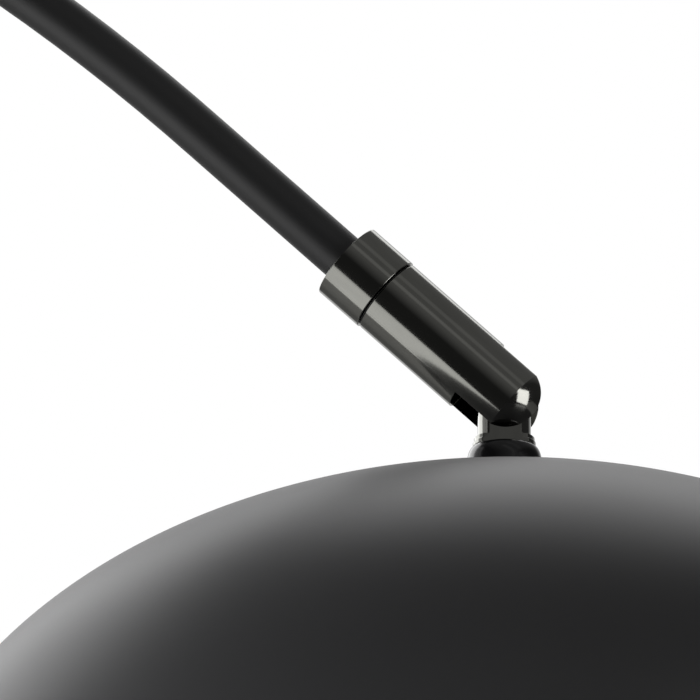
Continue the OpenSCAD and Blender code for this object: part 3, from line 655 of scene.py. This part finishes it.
class LAMP_OT_base(bpy.types.Operator):
    """Marble disc, felt pad, rubber gland, and the stud, washer and nut that tie the pole down"""
    bl_idname = "lamp.base"
    bl_label = "Base"

    def execute(self, context):
        under, top = low("marble_base")[2], high("marble_base")[2]
        r = high("marble_base")[0]
        gland_z = middle("cable_gland")[2]
        recess_top = high("base_washer")[2]
        side = outline([(r - 1 * MM, under), (r, under + 1 * MM)])
        heights = np.concatenate([np.linspace(side[-1, 1], gland_z - 13 * MM + 2.5 * MM, 2),
                                  np.linspace(gland_z - 10.3 * MM, gland_z + 12 * MM, 13),
                                  np.linspace(gland_z + 16 * MM, top - 8 * MM, 6)])
        angles = ring(4 * ROUND)
        half = len(angles) // 2
        wall = drilled(lambda a, h: UPRIGHT.at(r, a, h), r, angles, heights, (half - 4, half + 4, 2, 14),
                       (math.pi, gland_z, 9.6 * MM, 2 * MM))
        lower = turned(UPRIGHT, [(7 * MM, recess_top), (32 * MM, recess_top), (32 * MM, under),
                                 (r - 1 * MM, under), (r, under + 1 * MM)], angles)
        upper = turned(UPRIGHT, outline([(r, top - 8 * MM), (r, top, 5 * MM), (r - 12 * MM, top),
                                         (60 * MM, top), (7 * MM, top), (7 * MM, recess_top)], 10), angles)
        piece("marble_disc", "stand", ["marble_base"], finish("marble"), [lower, *wall, upper])

        pad, thick = high("felt_pad")[0], high("felt_pad")[2]
        angles = ring(240)
        levels = outline([(0, 0), (pad * 0.5, 0), (pad, 0, 0.8 * MM), (pad, thick, 0.4 * MM),
                          (pad * 0.5, thick), (0, thick)])
        waves = np.sin(17 * angles) + np.sin(41 * angles + 1) + np.sin(73 * angles + 2)
        fray = 0.15 * MM * waves - 0.45 * MM
        share = np.clip(levels[:, 0] / pad, 0, 1)[:, None] ** 8
        grid = UPRIGHT.at(levels[:, 0, None] + fray[None, :] * share, angles[None, :], levels[:, 1, None])
        piece("felt_disc", "stand", ["felt_pad"], finish("felt"), [grid])

        gland = Axis((low("cable_gland")[0], 0, gland_z), X, Z)
        length = high("cable_gland")[0] - low("cable_gland")[0]
        line = outline([(3.5 * MM, 0, 0.5 * MM), (9 * MM, 0, 1.2 * MM), (9 * MM, 3 * MM, 0.4 * MM),
                        (6 * MM, 3 * MM), (6 * MM, 6 * MM), (5.6 * MM, 6.4 * MM), (5.6 * MM, 8 * MM),
                        (6 * MM, 8.4 * MM), (6 * MM, 11 * MM), (5.6 * MM, 11.4 * MM),
                        (5.6 * MM, length - 2 * MM), (5 * MM, length), (3.5 * MM, length, 0.4 * MM)])
        piece("gland_grommet", "stand", ["cable_gland"], finish("rubber"),
              [turned(gland, closed(line), ring(ROUND))])

        dress(finish("zinc"), "tie_stud", "base_washer", "tie_nut")
        dress(finish("sheath"), "pole_lead", "arc_lead", "barrel_lead", "head_lead")
        return {"FINISHED"}


class LAMP_OT_pole(bpy.types.Operator):
    """Foot, two pole tubes and the ring between them"""
    bl_idname = "lamp.pole"
    bl_label = "Pole"

    def execute(self, context):
        s = context.scene.lamp_sizes
        foot, hub = low("pole_foot")[2], high("pole_foot")[2]
        wide, seat = high("pole_foot")[0], low("lower_pole")[2]
        hub_r = s.pole + 5.05 * MM
        line = outline([(6.05 * MM, foot), (wide, foot), (wide, foot + 6 * MM, 2 * MM),
                        (wide - 14 * MM, foot + 6 * MM), (hub_r + 3 * MM, foot + 6 * MM, 1.5 * MM),
                        (hub_r, foot + 9 * MM, 2 * MM), (hub_r, hub - 9 * MM),
                        (hub_r - 0.4 * MM, hub - 8.7 * MM),
                        (hub_r - 0.4 * MM, hub - 8.1 * MM), (hub_r, hub - 7.8 * MM), (hub_r, hub, 0.8 * MM),
                        (s.pole + 0.05 * MM, hub, 0.3 * MM), (s.pole + 0.05 * MM, seat), (6.05 * MM, seat)])
        piece("foot_flange", "stand", ["pole_foot"], finish("nickel"),
              [turned(UPRIGHT, closed(line), ring(FINE))])
        for name, node in (("pole_tube_lower", "lower_pole"), ("pole_tube_upper", "upper_pole")):
            bottom, top = low(node)[2], high(node)[2]
            steps = np.linspace(bottom, top, 40)
            skin = np.concatenate([np.stack([np.full(40, s.pole), steps], -1),
                                   np.stack([np.full(40, s.pole_bore), steps[::-1]], -1)])
            piece(name, "stand", [node], finish("powder"),
                  [turned(UPRIGHT, closed(skin), ring(ROUND))])
        bottom, top = high("lower_pole")[2], low("upper_pole")[2]
        plug = s.pole_bore - 0.05 * MM
        over = s.pole + 1.2 * MM
        line = outline([(5 * MM, low("pole_coupler")[2]), (plug, low("pole_coupler")[2], 1 * MM),
                        (plug, bottom),
                        (over, bottom, 0.6 * MM), (over, top, 0.6 * MM), (plug, top),
                        (plug, high("pole_coupler")[2], 1 * MM), (5 * MM, high("pole_coupler")[2])])
        piece("coupler_ring", "stand", ["pole_coupler"], finish("nickel"),
              [turned(UPRIGHT, closed(line), ring(FINE))])
        return {"FINISHED"}


class LAMP_OT_swivel(bpy.types.Operator):
    """Swivel socket and its bush at the pole's top, with the lock knob and its screw"""
    bl_idname = "lamp.swivel"
    bl_label = "Swivel and Lock"

    def execute(self, context):
        s = context.scene.lamp_sizes
        bottom, top = high("upper_pole")[2], high("swivel_bush")[2] - 1.5 * MM
        r, plug = high("swivel_socket")[1], s.pole_bore - 0.05 * MM
        bush, seat = s.tube + 1.65 * MM, low("swivel_bush")[2]
        line = outline([(5 * MM, low("swivel_socket")[2]), (plug, low("swivel_socket")[2], 1 * MM),
                        (plug, bottom), (r - 1.2 * MM, bottom, 0.4 * MM),
                        (r, bottom + 2 * MM, 0.8 * MM), (r, bottom + 5 * MM),
                        (r - 0.5 * MM, bottom + 5.4 * MM), (r - 0.5 * MM, bottom + 6.2 * MM),
                        (r, bottom + 6.6 * MM), (r, top, 0.9 * MM), (bush, top), (bush, seat),
                        (5 * MM, seat)])
        piece("socket_body", "stand", ["swivel_socket"], finish("nickel"),
              [turned(UPRIGHT, closed(line), ring(FINE))])
        bore, lip = s.tube + 0.15 * MM, high("swivel_bush")[2]
        line = outline([(bore, seat), (bush, seat), (bush, top), (r - 1 * MM, top, 0.2 * MM),
                        (r - 1 * MM, lip, 0.6 * MM), (bore, lip, 0.3 * MM)])
        piece("bush_liner", "stand", ["swivel_bush"], finish("polymer"),
              [turned(UPRIGHT, closed(line), ring(FINE))])

        near, far = -high("lock_knob")[0], -low("lock_knob")[0]
        knob = Axis((0, 0, middle("lock_knob")[2]), -X, Z)
        angles, wide = ring(8 * 24), high("lock_knob")[1]
        off = (angles + TURN / 16) % (TURN / 8) - TURN / 16
        away, flute = wide + 1 * MM, 2.4 * MM
        inside = np.maximum(flute ** 2 - (away * np.sin(off)) ** 2, 0)
        flutes = np.where(inside > 0, np.minimum(wide, away * np.cos(off) - np.sqrt(inside)), wide)
        line = outline([(3 * MM, near), (wide - 1 * MM, near), (wide, near + 1 * MM, 0.5 * MM),
                        (wide, far - 2 * MM, 1.2 * MM), (wide - 3.2 * MM, far, 1.0 * MM),
                        (wide - 5 * MM, far), (wide - 5.6 * MM, far - 0.6 * MM, 0.3 * MM),
                        (3 * MM, far - 0.9 * MM), (0, far - 0.9 * MM)])
        share = np.clip((line[:, 0] - 0.62 * wide) / (0.38 * wide), 0, 1)[:, None]
        radii = line[:, 0, None] - (wide - flutes)[None, :] * share
        rows = knob.at(radii, angles[None, :], line[:, 1, None])
        inner = turned(knob, [(3 * MM, near), (3 * MM, far - 3 * MM), (0, far - 3 * MM)], angles)
        piece("knob_fluted", "lock", ["lock_knob"], finish("moulded"), [rows, inner],
              crease=30)
        dress(finish("zinc"), "lock_screw")
        return {"FINISHED"}


# ---- Arc ----

class Arch:
    """The arc tube's centre line by length: straight up from the pole, round the arc, then straight on."""

    def __init__(self, radius, top):
        self.radius = radius
        self.spring = top - radius  # height at which the arc begins
        self.sweep = math.pi / 2 + DROP

    def at(self, offset, angle, length):
        """A point at an offset from the centre line, at an angle round it from its inner side, and at a
        length from the arc's beginning: straight stretches before 0 and past the arc's end follow its
        tangents."""
        offset, angle, length = np.broadcast_arrays(offset, angle, length)
        turn = np.clip(length / self.radius, 0, self.sweep)
        rest = length - turn * self.radius
        out = np.stack([-np.cos(turn), 0 * turn, np.sin(turn)], -1)
        ahead = np.stack([np.sin(turn), 0 * turn, np.cos(turn)], -1)
        centre = np.array([self.radius, 0, self.spring])
        side = -np.cos(angle)[..., None] * out + np.sin(angle)[..., None] * Y
        return centre + self.radius * out + rest[..., None] * ahead + offset[..., None] * side


def tube_grids(arch, outer, bore, lengths, holes=()):
    """A tube along the arch between the first and last of its lengths, with its bore and both end rings. Each
    hole is (index of its first length, of its last, angle, length, radius)."""
    angles = ring(64, -math.pi)
    grids = []
    start = 0
    for first, last, angle, length, radius in holes:
        grids += drilled(lambda a, h: arch.at(outer, a, h), outer, angles, lengths[start:last + 2],
                         (28, 36, first - start, last - start), (angle, length, radius, 1.1 * MM))
        start = last + 1
    grids.append(arch.at(outer, angles[None, :], lengths[start:, None]))
    grids.append(arch.at(bore, angles[None, :], lengths[:, None]))
    for end in (lengths[0], lengths[-1]):
        grids.append(arch.at(np.array([[outer], [bore]]), angles[None, :], end))
    return grids


def collar_grids(axis, s, start, end, bore, hole):
    """A collar's ring: rounded edges, a plain bore, and a blind hole for its grub screw at a quarter turn."""
    angles = ring(FINE)
    side = FINE // 4
    edge = 0.3 * MM
    heights = np.concatenate([np.linspace(start + 2 * edge, hole - 3 * MM, 3),
                              np.linspace(hole - 3 * MM, hole + 3 * MM, 9)[1:],
                              np.linspace(hole + 3 * MM, end - 2 * edge, 5)[1:]])
    wall = drilled(lambda a, h: axis.at(s.collar, a, h), s.collar, angles, heights,
                   (side - 6, side + 6, 2, 10),
                   (math.pi / 2, hole, 2.05 * MM, 4.4 * MM))
    near = outline([(bore, start), (s.collar, start, edge), (s.collar, start + 2 * edge)])
    far = outline([(s.collar, end - 2 * edge), (s.collar, end, edge), (bore, end)])
    far = np.concatenate([far, [[bore, start]]])
    return [turned(axis, near, angles), *wall, turned(axis, far, angles)]


def grub_grids(axis, radius, bottom, top, key):
    """A grub screw along an axis, with a hexagon socket in its top."""
    angles = ring(48)
    socket = six_sides(key, angles)
    flat = np.ones_like(angles)
    edge = 0.3 * MM
    radii = [0 * flat, (radius - edge) * flat, radius * flat, radius * flat, (radius - edge) * flat, socket,
             socket, 0 * flat]
    heights = [bottom, bottom, bottom + edge, top - edge, top, top, top - 1.2 * MM, top - 1.6 * MM]
    return [axis.at(np.array(radii), angles[None, :], np.array(heights)[:, None])]


class LAMP_OT_arc(bpy.types.Operator):
    """Both arc tubes, their joiner, the root collar and the grub screws"""
    bl_idname = "lamp.arc"
    bl_label = "Arc"

    def execute(self, context):
        s = context.scene.lamp_sizes
        arch = Arch(s.arc_radius, high("upper_arc")[2] - s.tube)
        join = math.radians(64) * s.arc_radius
        half_ring, reach = 2.5 * MM, 30 * MM
        step = math.radians(1) * s.arc_radius
        foot = low("lower_arc")[2] - arch.spring
        end = arch.sweep * s.arc_radius + 67 * MM + 11.2 * MM
        for name, node, first, last, hole in (
                ("arc_tube_lower", "lower_arc", foot, join - half_ring, join - reach / 2),
                ("arc_tube_upper", "upper_arc", join + half_ring, end, join + reach / 2)):
            before = np.linspace(first, hole - 4 * MM, max(3, int((hole - first) / step)))
            across = np.linspace(hole - 4 * MM, hole + 4 * MM, 9)[1:]
            after = np.linspace(hole + 4 * MM, last, max(3, int((last - hole) / step)))[1:]
            lengths = np.concatenate([before, across, after])
            at = (len(before) - 1, len(before) + 7, 0.0, hole, 2.05 * MM)
            piece(name, "arm", [node], finish("powder"),
                  tube_grids(arch, s.tube, s.tube_bore, lengths, [at]))
        angles = ring(ROUND)
        over, plug, way = s.tube + 1.2 * MM, s.tube_bore - 0.05 * MM, 3.5 * MM
        line = outline([(way, join - reach), (plug, join - reach), (plug, join - half_ring),
                        (over, join - half_ring, 0.5 * MM), (over, join + half_ring, 0.5 * MM),
                        (plug, join + half_ring), (plug, join + reach), (way, join + reach)])
        line = closed(line)
        grid = arch.at(line[:, 0, None], angles[None, :], line[:, 1, None])
        piece("joiner_ring", "arm", ["arc_joiner"], finish("nickel"), [grid])
        grids = []
        for place in (join - reach / 2, join + reach / 2):
            base = arch.at(np.array(0.0), np.array(0.0), np.array(place))
            inward = arch.at(np.array(1.0), np.array(0.0), np.array(place)) - base
            grids += grub_grids(Axis(base, inward, Y), 2 * MM, 4 * MM, s.tube - 0.3 * MM, 2 * MM)
        piece("joiner_screws", "arm", ["joiner_grubs"], finish("dark_steel"), grids)

        bottom, top = low("root_collar")[2], high("root_collar")[2]
        centre = (bottom + top) / 2
        piece("root_ring", "arm", ["root_collar"], finish("nickel"),
              collar_grids(UPRIGHT, s, bottom, top, s.tube + 0.15 * MM, centre))
        piece("root_screw", "arm", ["root_grub"], finish("dark_steel"),
              grub_grids(Axis((0, 0, centre), Y, X), 2 * MM, 7.5 * MM, s.collar - 1 * MM, 2 * MM))
        return {"FINISHED"}


# ---- Tilt joint ----

class LAMP_OT_joint(bpy.types.Operator):
    """End collar, groove washer, slotted barrel with its ball end, pivot and stop screws"""
    bl_idname = "lamp.joint"
    bl_label = "Tilt Joint"

    def execute(self, context):
        s = context.scene.lamp_sizes
        start = s.barrel_length + 0.6 * MM
        end = start + 17.2 * MM
        hole = end - 6 * MM
        piece("end_ring", "arm", ["end_collar"], finish("nickel_arm"),
              collar_grids(ARM, s, start, end, s.tube + 0.15 * MM, hole))
        piece("end_screw", "arm", ["collar_grub"], finish("dark_steel"),
              grub_grids(Axis(ARM.at(0.0, 0.0, hole), Y, ARM_UP), 2 * MM, 6 * MM, s.collar - 1 * MM, 2 * MM))
        washer = outline([(6.3 * MM, s.barrel_length), (s.barrel - 0.8 * MM, s.barrel_length),
                          (s.barrel - 0.8 * MM, s.barrel_length + 0.3 * MM),
                          (6.3 * MM, s.barrel_length + 0.3 * MM)])
        piece("groove_washer", "knuckle", ["groove_washer_ring"], finish("polymer"),
              [turned(ARM, closed(washer), ring(FINE))])
        piece("barrel_body", "knuckle", ["knuckle_barrel"], finish("nickel_arm"),
              self.barrel(s), crease=16, bevel=(0.12 * MM, 40))
        face = s.barrel - 0.3 * MM
        pin = Axis(PIVOT, Y, ARM_UP)
        angles = ring(72)
        flat, socket = np.ones_like(angles), six_sides(3 * MM, angles)
        radii = [0 * flat, 2.5 * MM * flat, 2.5 * MM * flat, 4.5 * MM * flat, 4.5 * MM * flat,
                 4.35 * MM * flat, 4.05 * MM * flat, socket + 0.25 * MM, socket, socket, 0 * flat]
        levels = [-10.8 * MM, -10.8 * MM, face - 3 * MM, face - 3 * MM, face - 0.45 * MM,
                  face - 0.12 * MM, face, face, face - 0.25 * MM, face - 1.6 * MM, face - 2.0 * MM]
        piece("pivot_bolt", "knuckle", ["pivot_screw"], finish("dark_steel"),
              [pin.at(np.array(radii), angles[None, :], np.array(levels)[:, None])])
        stop = Axis(ARM.at(0.0, 0.0, 35.9 * MM), Y, ARM_UP)
        piece("stop_grub", "knuckle", ["stop_screw"], finish("dark_steel"),
              grub_grids(stop, 1.5 * MM, 5.3 * MM, s.barrel - 0.6 * MM, 1.5 * MM))
        grids = []
        for side in (-1, 1):
            disc = outline([(2.6 * MM, 7.05 * MM), (6.4 * MM, 7.05 * MM, 0.2 * MM), (6.4 * MM, 8.05 * MM),
                            (2.6 * MM, 8.05 * MM)])
            grids.append(turned(Axis(PIVOT, side * Y, ARM_UP), closed(disc), ring(ROUND)))
        piece("friction_discs", "knuckle", ["friction_washers"], finish("nylon"), grids)
        dress(finish("zinc"), "swivel_spindle")
        return {"FINISHED"}

    def barrel(self, s):
        """Above the slot a cylinder, with a hole for the stop screw; below its top two cheeks, whose outside
        is the cylinder, then the ball, and whose inside is flat. The smaller of the cylinder's radius and the
        ball's half chord at a height gives the radius. The cheeks close where the ball meets the slot."""
        r, ball, w, top = s.barrel, s.ball, s.slot, s.slot_top
        meet = -math.sqrt(ball ** 2 - r ** 2)
        chord = math.asin(w / r)
        cheek = np.linspace(chord, math.pi - chord, 45)
        gap = np.linspace(math.pi - chord, math.pi + chord, 27)
        angles = np.concatenate([cheek, gap[1:], cheek[1:] + math.pi, gap[1:] + math.pi])
        chamfer = 0.35 * MM
        rear = s.barrel_length - chamfer
        stop = 35.9 * MM
        heights = np.concatenate([np.linspace(top, stop - 2.6 * MM, 8),
                                  np.linspace(stop - 2.6 * MM, stop + 2.6 * MM, 9)[1:],
                                  np.linspace(stop + 2.6 * MM, rear - 0.3 * MM, 6)[1:], [rear]])
        grids = drilled(lambda a, h: ARM.at(r, a, h), r, angles, heights, (17, 27, 7, 15),
                        (math.pi / 2, stop, 1.55 * MM, 6 * MM))
        grids.append(turned(ARM, [(r, rear), (r - chamfer, s.barrel_length), (6.05 * MM, s.barrel_length),
                                  (6.05 * MM, 27.9 * MM), (0, 27.9 * MM)], angles))
        # cheeks: straight part, with the pivot screw's counterbore in the +Y one
        levels = np.concatenate([np.linspace(meet, 6.5 * MM, 17), np.linspace(6.5 * MM, top, 6)[1:]])
        grids += drilled(lambda a, h: ARM.at(r, a, h), r, cheek, levels, (11, 33, 0, 16),
                         (math.pi / 2, 0.0, 4.8 * MM, 3.1 * MM))
        grids.append(ARM.at(r, cheek[None, :] + math.pi, levels[:, None]))
        # cheeks: ball part, down to the tip of the flat half disc
        disc = math.sqrt(ball ** 2 - w ** 2)
        lean = np.linspace(math.asin(-meet / disc), math.pi / 2, 22)
        tip = -disc * np.sin(lean)
        around = np.sqrt(ball ** 2 - tip ** 2)
        edge = np.arcsin(np.clip(w / around, -1, 1))
        share = np.linspace(0, 1, 45)[None, :]
        sweep = edge[:, None] + (math.pi - 2 * edge[:, None]) * share
        for side in (0, math.pi):
            grids.append(ARM.at(around[:, None], sweep + side, tip[:, None]))
        # flat insides of the slot and its ceiling
        across = np.linspace(-1, 1, 25)[None, :]
        half = np.concatenate([disc * np.cos(lean)[::-1], np.full(len(levels) - 1, r * math.cos(chord))])
        down = np.concatenate([tip[::-1], levels[1:]])
        for side in (-1, 1):
            grids.append(ARM.point(half[:, None] * across, side * w, down[:, None]))
        y = r * np.sin(gap - math.pi)
        grids.append(ARM.point(np.sqrt(r ** 2 - y ** 2)[:, None] * across, y[:, None], top))
        return grids


class LAMP_OT_tongue(bpy.types.Operator):
    """The tongue that tilts in the slot, with its flange"""
    bl_idname = "lamp.tongue"
    bl_label = "Tongue"

    def execute(self, context):
        s = context.scene.lamp_sizes
        bottom = high("shade_cap")[2] - PIVOT[2]
        ledge, waist = bottom + 3 * MM, bottom + 1.5 * MM
        y = np.linspace(-1, 1, 33)[:, None] * s.flat
        stem, foot = np.sqrt(s.tongue ** 2 - y ** 2), np.sqrt(s.flange ** 2 - y ** 2)
        round_top = s.tongue + 0.1 * MM

        def crown(x):
            """Height of the top, a quarter round about the pivot."""
            return np.sqrt(np.maximum(round_top ** 2 - x ** 2, 0))

        across = np.linspace(-1, 1, 33)[None, :]
        rise = np.linspace(0, 1, 13)[None, :]
        grids = [HEAD.point(stem * across, y, crown(stem * across))]
        inset = foot - 0.35 * MM
        columns = np.concatenate([-foot, -inset, stem * across, inset, foot], 1)
        grids.append(HEAD.point(columns, y, bottom))
        for side in (-1, 1):
            x = side * stem
            grids.append(HEAD.point(x, y, ledge + (crown(x) - ledge) * rise))
            neck = side * (foot - 0.35 * MM)
            grids.append(HEAD.point(np.concatenate([x, neck], 1), y, ledge))
            grids.append(HEAD.point(neck, y, np.linspace(waist, ledge, 4)[None, :]))
            grids.append(HEAD.point(np.concatenate([neck, side * foot], 1), y, waist))
            grids.append(HEAD.point(side * foot, y, np.linspace(bottom, waist, 4)[None, :]))
            half = stem[0, 0] * across.T
            grids.append(HEAD.point(half, side * s.flat, ledge + (crown(half) - ledge) * rise))
            thin = foot[0, 0] - 0.35 * MM
            row = np.concatenate([[[-thin]], half.T, [[thin]]], 1).T
            grids.append(HEAD.point(row, side * s.flat, np.linspace(waist, ledge, 4)[None, :]))
            row = np.concatenate([-foot[:1], [[-thin]], half.T, [[thin]], foot[:1]], 1).T
            grids.append(HEAD.point(row, side * s.flat, np.linspace(bottom, waist, 4)[None, :]))
        piece("tongue_bar", "head", ["tongue"], finish("nickel"), grids, crease=16,
              bevel=(0.18 * MM, 30))
        return {"FINISHED"}


# ---- Shade ----

class LAMP_OT_shade(bpy.types.Operator):
    """Cap, dome with its rolled rim, and the washer, nipple and nut that hold it"""
    bl_idname = "lamp.shade"
    bl_label = "Shade"

    def execute(self, context):
        s = context.scene.lamp_sizes
        top, crown = high("shade_cap")[2] - PIVOT[2], low("shade_cap")[2] - PIVOT[2]
        a = np.linspace(0, math.pi / 2, 17)[::-1]
        shoulder = np.stack([s.cap - 2.4 * MM * (1 - np.cos(a)), top - 5 * MM * (1 - np.sin(a))], -1)
        line = np.concatenate([[[5.05 * MM, crown], [5.05 * MM, top]], shoulder,
                               outline([(s.cap, crown + 3 * MM), (s.cap, crown, 0.6 * MM),
                                        (5.05 * MM, crown)])])
        piece("cap_bun", "head", ["shade_cap"], finish("gloss"),
              [turned(HEAD, line, ring(FINE))])

        rise = crown - (low("dome_shade")[2] - PIVOT[2]) - s.rim
        lean = np.linspace(math.asin(14 * MM / s.dome), math.pi / 2, 90)

        def bowl(inset):
            """Half an ellipse from the flat crown to the rim, inset by a wall."""
            wide = s.dome - inset
            start = math.asin(14 * MM / wide)
            tall = (rise - inset) / math.cos(start)
            t = start + (lean - lean[0]) / (lean[-1] - lean[0]) * (math.pi / 2 - start)
            return np.stack([wide * np.sin(t), crown - rise + tall * np.cos(t)], -1)[:-1]

        gap = math.acos(s.dome_wall / 2 / s.rim)
        bead = np.linspace(gap, -math.pi - gap, 33)
        roll = np.stack([s.dome - s.dome_wall / 2 + s.rim * np.cos(bead),
                         crown - rise + s.rim * np.sin(bead)], -1)
        outside = np.concatenate([[[5.05 * MM, crown]], bowl(0), roll])
        inside = np.concatenate([roll[-1:], bowl(s.dome_wall)[::-1], [[5.05 * MM, crown - s.dome_wall]],
                                 [[5.05 * MM, crown]]])
        angles = ring(256)
        piece("dome", "head", ["dome_shade"], [finish("shade"), finish("reflector")],
              [turned(HEAD, outside, angles), turned(HEAD, inside, angles)], parts=[0, 1])
        dress(finish("zinc"), "nipple", "crown_washer", "lock_nut")
        return {"FINISHED"}


class LAMP_OT_holder(bpy.types.Operator):
    """Lamp holder: cap, shell, ceramic insert, screw shell and centre contact"""
    bl_idname = "lamp.holder"
    bl_label = "Lamp Holder"

    def execute(self, context):
        top, joint = high("holder_cap")[2] - PIVOT[2], low("holder_cap")[2] - PIVOT[2]
        r, angles = high("holder_shell")[1], ring(FINE)
        line = outline([(5.05 * MM, top), (8 * MM, top, 0.6 * MM), (8 * MM, top - 6 * MM, 1 * MM),
                        (r - 5 * MM, top - 6 * MM, 1 * MM), (r, top - 11 * MM, 2 * MM),
                        (r, joint + 1 * MM), (r - 0.4 * MM, joint + 0.7 * MM), (r - 0.4 * MM, joint),
                        (r - 2 * MM, joint), (r - 2 * MM, top - 12 * MM), (r - 6 * MM, top - 8 * MM),
                        (5.05 * MM, top - 8 * MM)])
        piece("holder_dome", "head", ["holder_cap"], finish("moulded"),
              [turned(HEAD, closed(line), angles)])
        bottom = low("holder_shell")[2] - PIVOT[2]
        ribs = []
        for i in range(6):
            z = joint - (6 + 2.4 * i) * MM
            ribs += [(r, z, 0.3 * MM), (r - 0.5 * MM, z - 0.6 * MM, 0.3 * MM),
                     (r - 0.5 * MM, z - 1.2 * MM, 0.3 * MM), (r, z - 1.8 * MM, 0.3 * MM)]
        line = outline([(r - 2 * MM, joint), (r - 0.4 * MM, joint), (r - 0.4 * MM, joint - 0.4 * MM),
                        (r, joint - 0.8 * MM), *ribs, (r, bottom, 0.8 * MM),
                        (r - 2 * MM, bottom, 0.5 * MM)], 3)
        piece("holder_sleeve", "head", ["holder_shell"], finish("moulded"),
              [turned(HEAD, closed(line), angles)], crease=50)
        low_z = low("screw_shell")[2] - PIVOT[2]
        high_z = high("screw_shell")[2] - PIVOT[2]
        bore = high("screw_shell")[1] - 0.6 * MM
        levels = np.linspace(low_z, high_z, 90)
        wave = 0.35 * MM * np.cos(TURN * levels[:, None] / (3.62 * MM) - angles[None, :]) - 0.35 * MM
        skin = [HEAD.at(bore + 0.6 * MM + wave, angles[None, :], levels[:, None]),
                HEAD.at(bore + 0.2 * MM + wave, angles[None, :], levels[:, None])]
        ends = [HEAD.at(np.stack([bore + 0.6 * MM + wave[i], bore + 0.2 * MM + wave[i]]), angles[None, :],
                        levels[i]) for i in (0, -1)]
        piece("thread_shell", "head", ["screw_shell"], finish("brass"), skin + ends, crease=50)
        dress(finish("ceramic"), "holder_insert")
        dress(finish("brass"), "centre_contact")
        return {"FINISHED"}


class LAMP_OT_bulb(bpy.types.Operator):
    """Bulb: screw cap, contact and opal glass"""
    bl_idname = "lamp.bulb"
    bl_label = "Bulb"

    def execute(self, context):
        top = high("bulb_contact")[2] - PIVOT[2]
        mouth = low("bulb_cap")[2] - PIVOT[2]
        r, angles = high("bulb_cap")[1], ring(FINE)
        first, last = top - 6 * MM, mouth + 5 * MM
        levels = np.linspace(first, last, 120)
        ease = np.clip(np.minimum(first - levels, levels - last) / (2 * MM), 0, 1)[:, None]
        wave = 0.45 * MM * (np.cos(TURN * levels[:, None] / (3.62 * MM) - angles[None, :]) - 1) * ease
        seat = mouth + 3 * MM
        neck = r - 0.6 * MM
        grids = [turned(HEAD, [(0, top - 2.5 * MM), (8 * MM, top - 2.5 * MM), (r, first)], angles),
                 HEAD.at(r + wave, angles[None, :], levels[:, None]),
                 turned(HEAD, outline([(r, last), (r, mouth, 0.3 * MM), (neck, mouth), (neck, seat),
                                       (0, seat)]), angles)]
        piece("bulb_screw_cap", "head", ["bulb_cap"], finish("bulb_nickel"), grids, crease=50)
        tip = outline([(0, top), (4 * MM, top, 0.8 * MM), (8 * MM, top - 2.5 * MM), (0, top - 2.5 * MM)])
        piece("bulb_tip", "head", ["bulb_contact"], finish("insulator"),
              [turned(HEAD, tip, angles)])
        bottom, ball = low("bulb_glass")[2] - PIVOT[2], high("bulb_glass")[1]
        centre = bottom + ball

        def globe(inset):
            """A straight seat, a neck that eases out to the ball's radius, then the lower half of a ball."""
            u = np.linspace(0, 1, 25)
            small, big = neck - 0.02 * MM - inset, ball - inset
            ease = u * u * (3 - 2 * u)
            side = np.stack([small + (big - small) * ease, mouth + (centre - mouth) * u], -1)
            a = np.linspace(0, math.pi / 2, 25)[1:]
            half = np.stack([big * np.cos(a), centre - big * np.sin(a)], -1)
            return np.concatenate([[[small, seat - 0.02 * MM]], side, half])

        line = np.concatenate([globe(0), globe(1 * MM)[::-1]])
        piece("bulb_globe", "head", ["bulb_glass"], finish("opal"),
              [turned(HEAD, closed(line), angles)])
        return {"FINISHED"}


class LAMP_PT_panel(bpy.types.Panel):
    """Sizes, colours and a button for each group of pieces"""
    bl_idname = "LAMP_PT_panel"
    bl_label = "Arc Floor Lamp"
    bl_space_type = "VIEW_3D"
    bl_region_type = "UI"
    bl_category = "Lamp"

    def draw(self, context):
        for group in (context.scene.lamp_sizes, context.scene.lamp_colours):
            column = self.layout.column(align=True)
            for name in group.bl_rna.properties.keys():
                if name not in ("rna_type", "name"):
                    column.prop(group, name)
        for operator in OPERATORS:
            self.layout.operator(operator.bl_idname)


OPERATORS = (LAMP_OT_stage, LAMP_OT_base, LAMP_OT_pole, LAMP_OT_swivel, LAMP_OT_arc, LAMP_OT_joint,
             LAMP_OT_tongue, LAMP_OT_shade, LAMP_OT_holder, LAMP_OT_bulb)
CLASSES = (LampSizes, LampColours, *OPERATORS, LAMP_PT_panel)


def register():
    for cls in CLASSES:
        bpy.utils.register_class(cls)
    bpy.types.Scene.lamp_sizes = PointerProperty(type=LampSizes)
    bpy.types.Scene.lamp_colours = PointerProperty(type=LampColours)


def unregister():
    del bpy.types.Scene.lamp_colours
    del bpy.types.Scene.lamp_sizes
    for cls in reversed(CLASSES):
        bpy.utils.unregister_class(cls)


def main():
    """Registers the add-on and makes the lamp."""
    register()
    for operator in OPERATORS:
        group, name = operator.bl_idname.split(".")
        getattr(getattr(bpy.ops, group), name)()


if __name__ == "__main__":
    main()
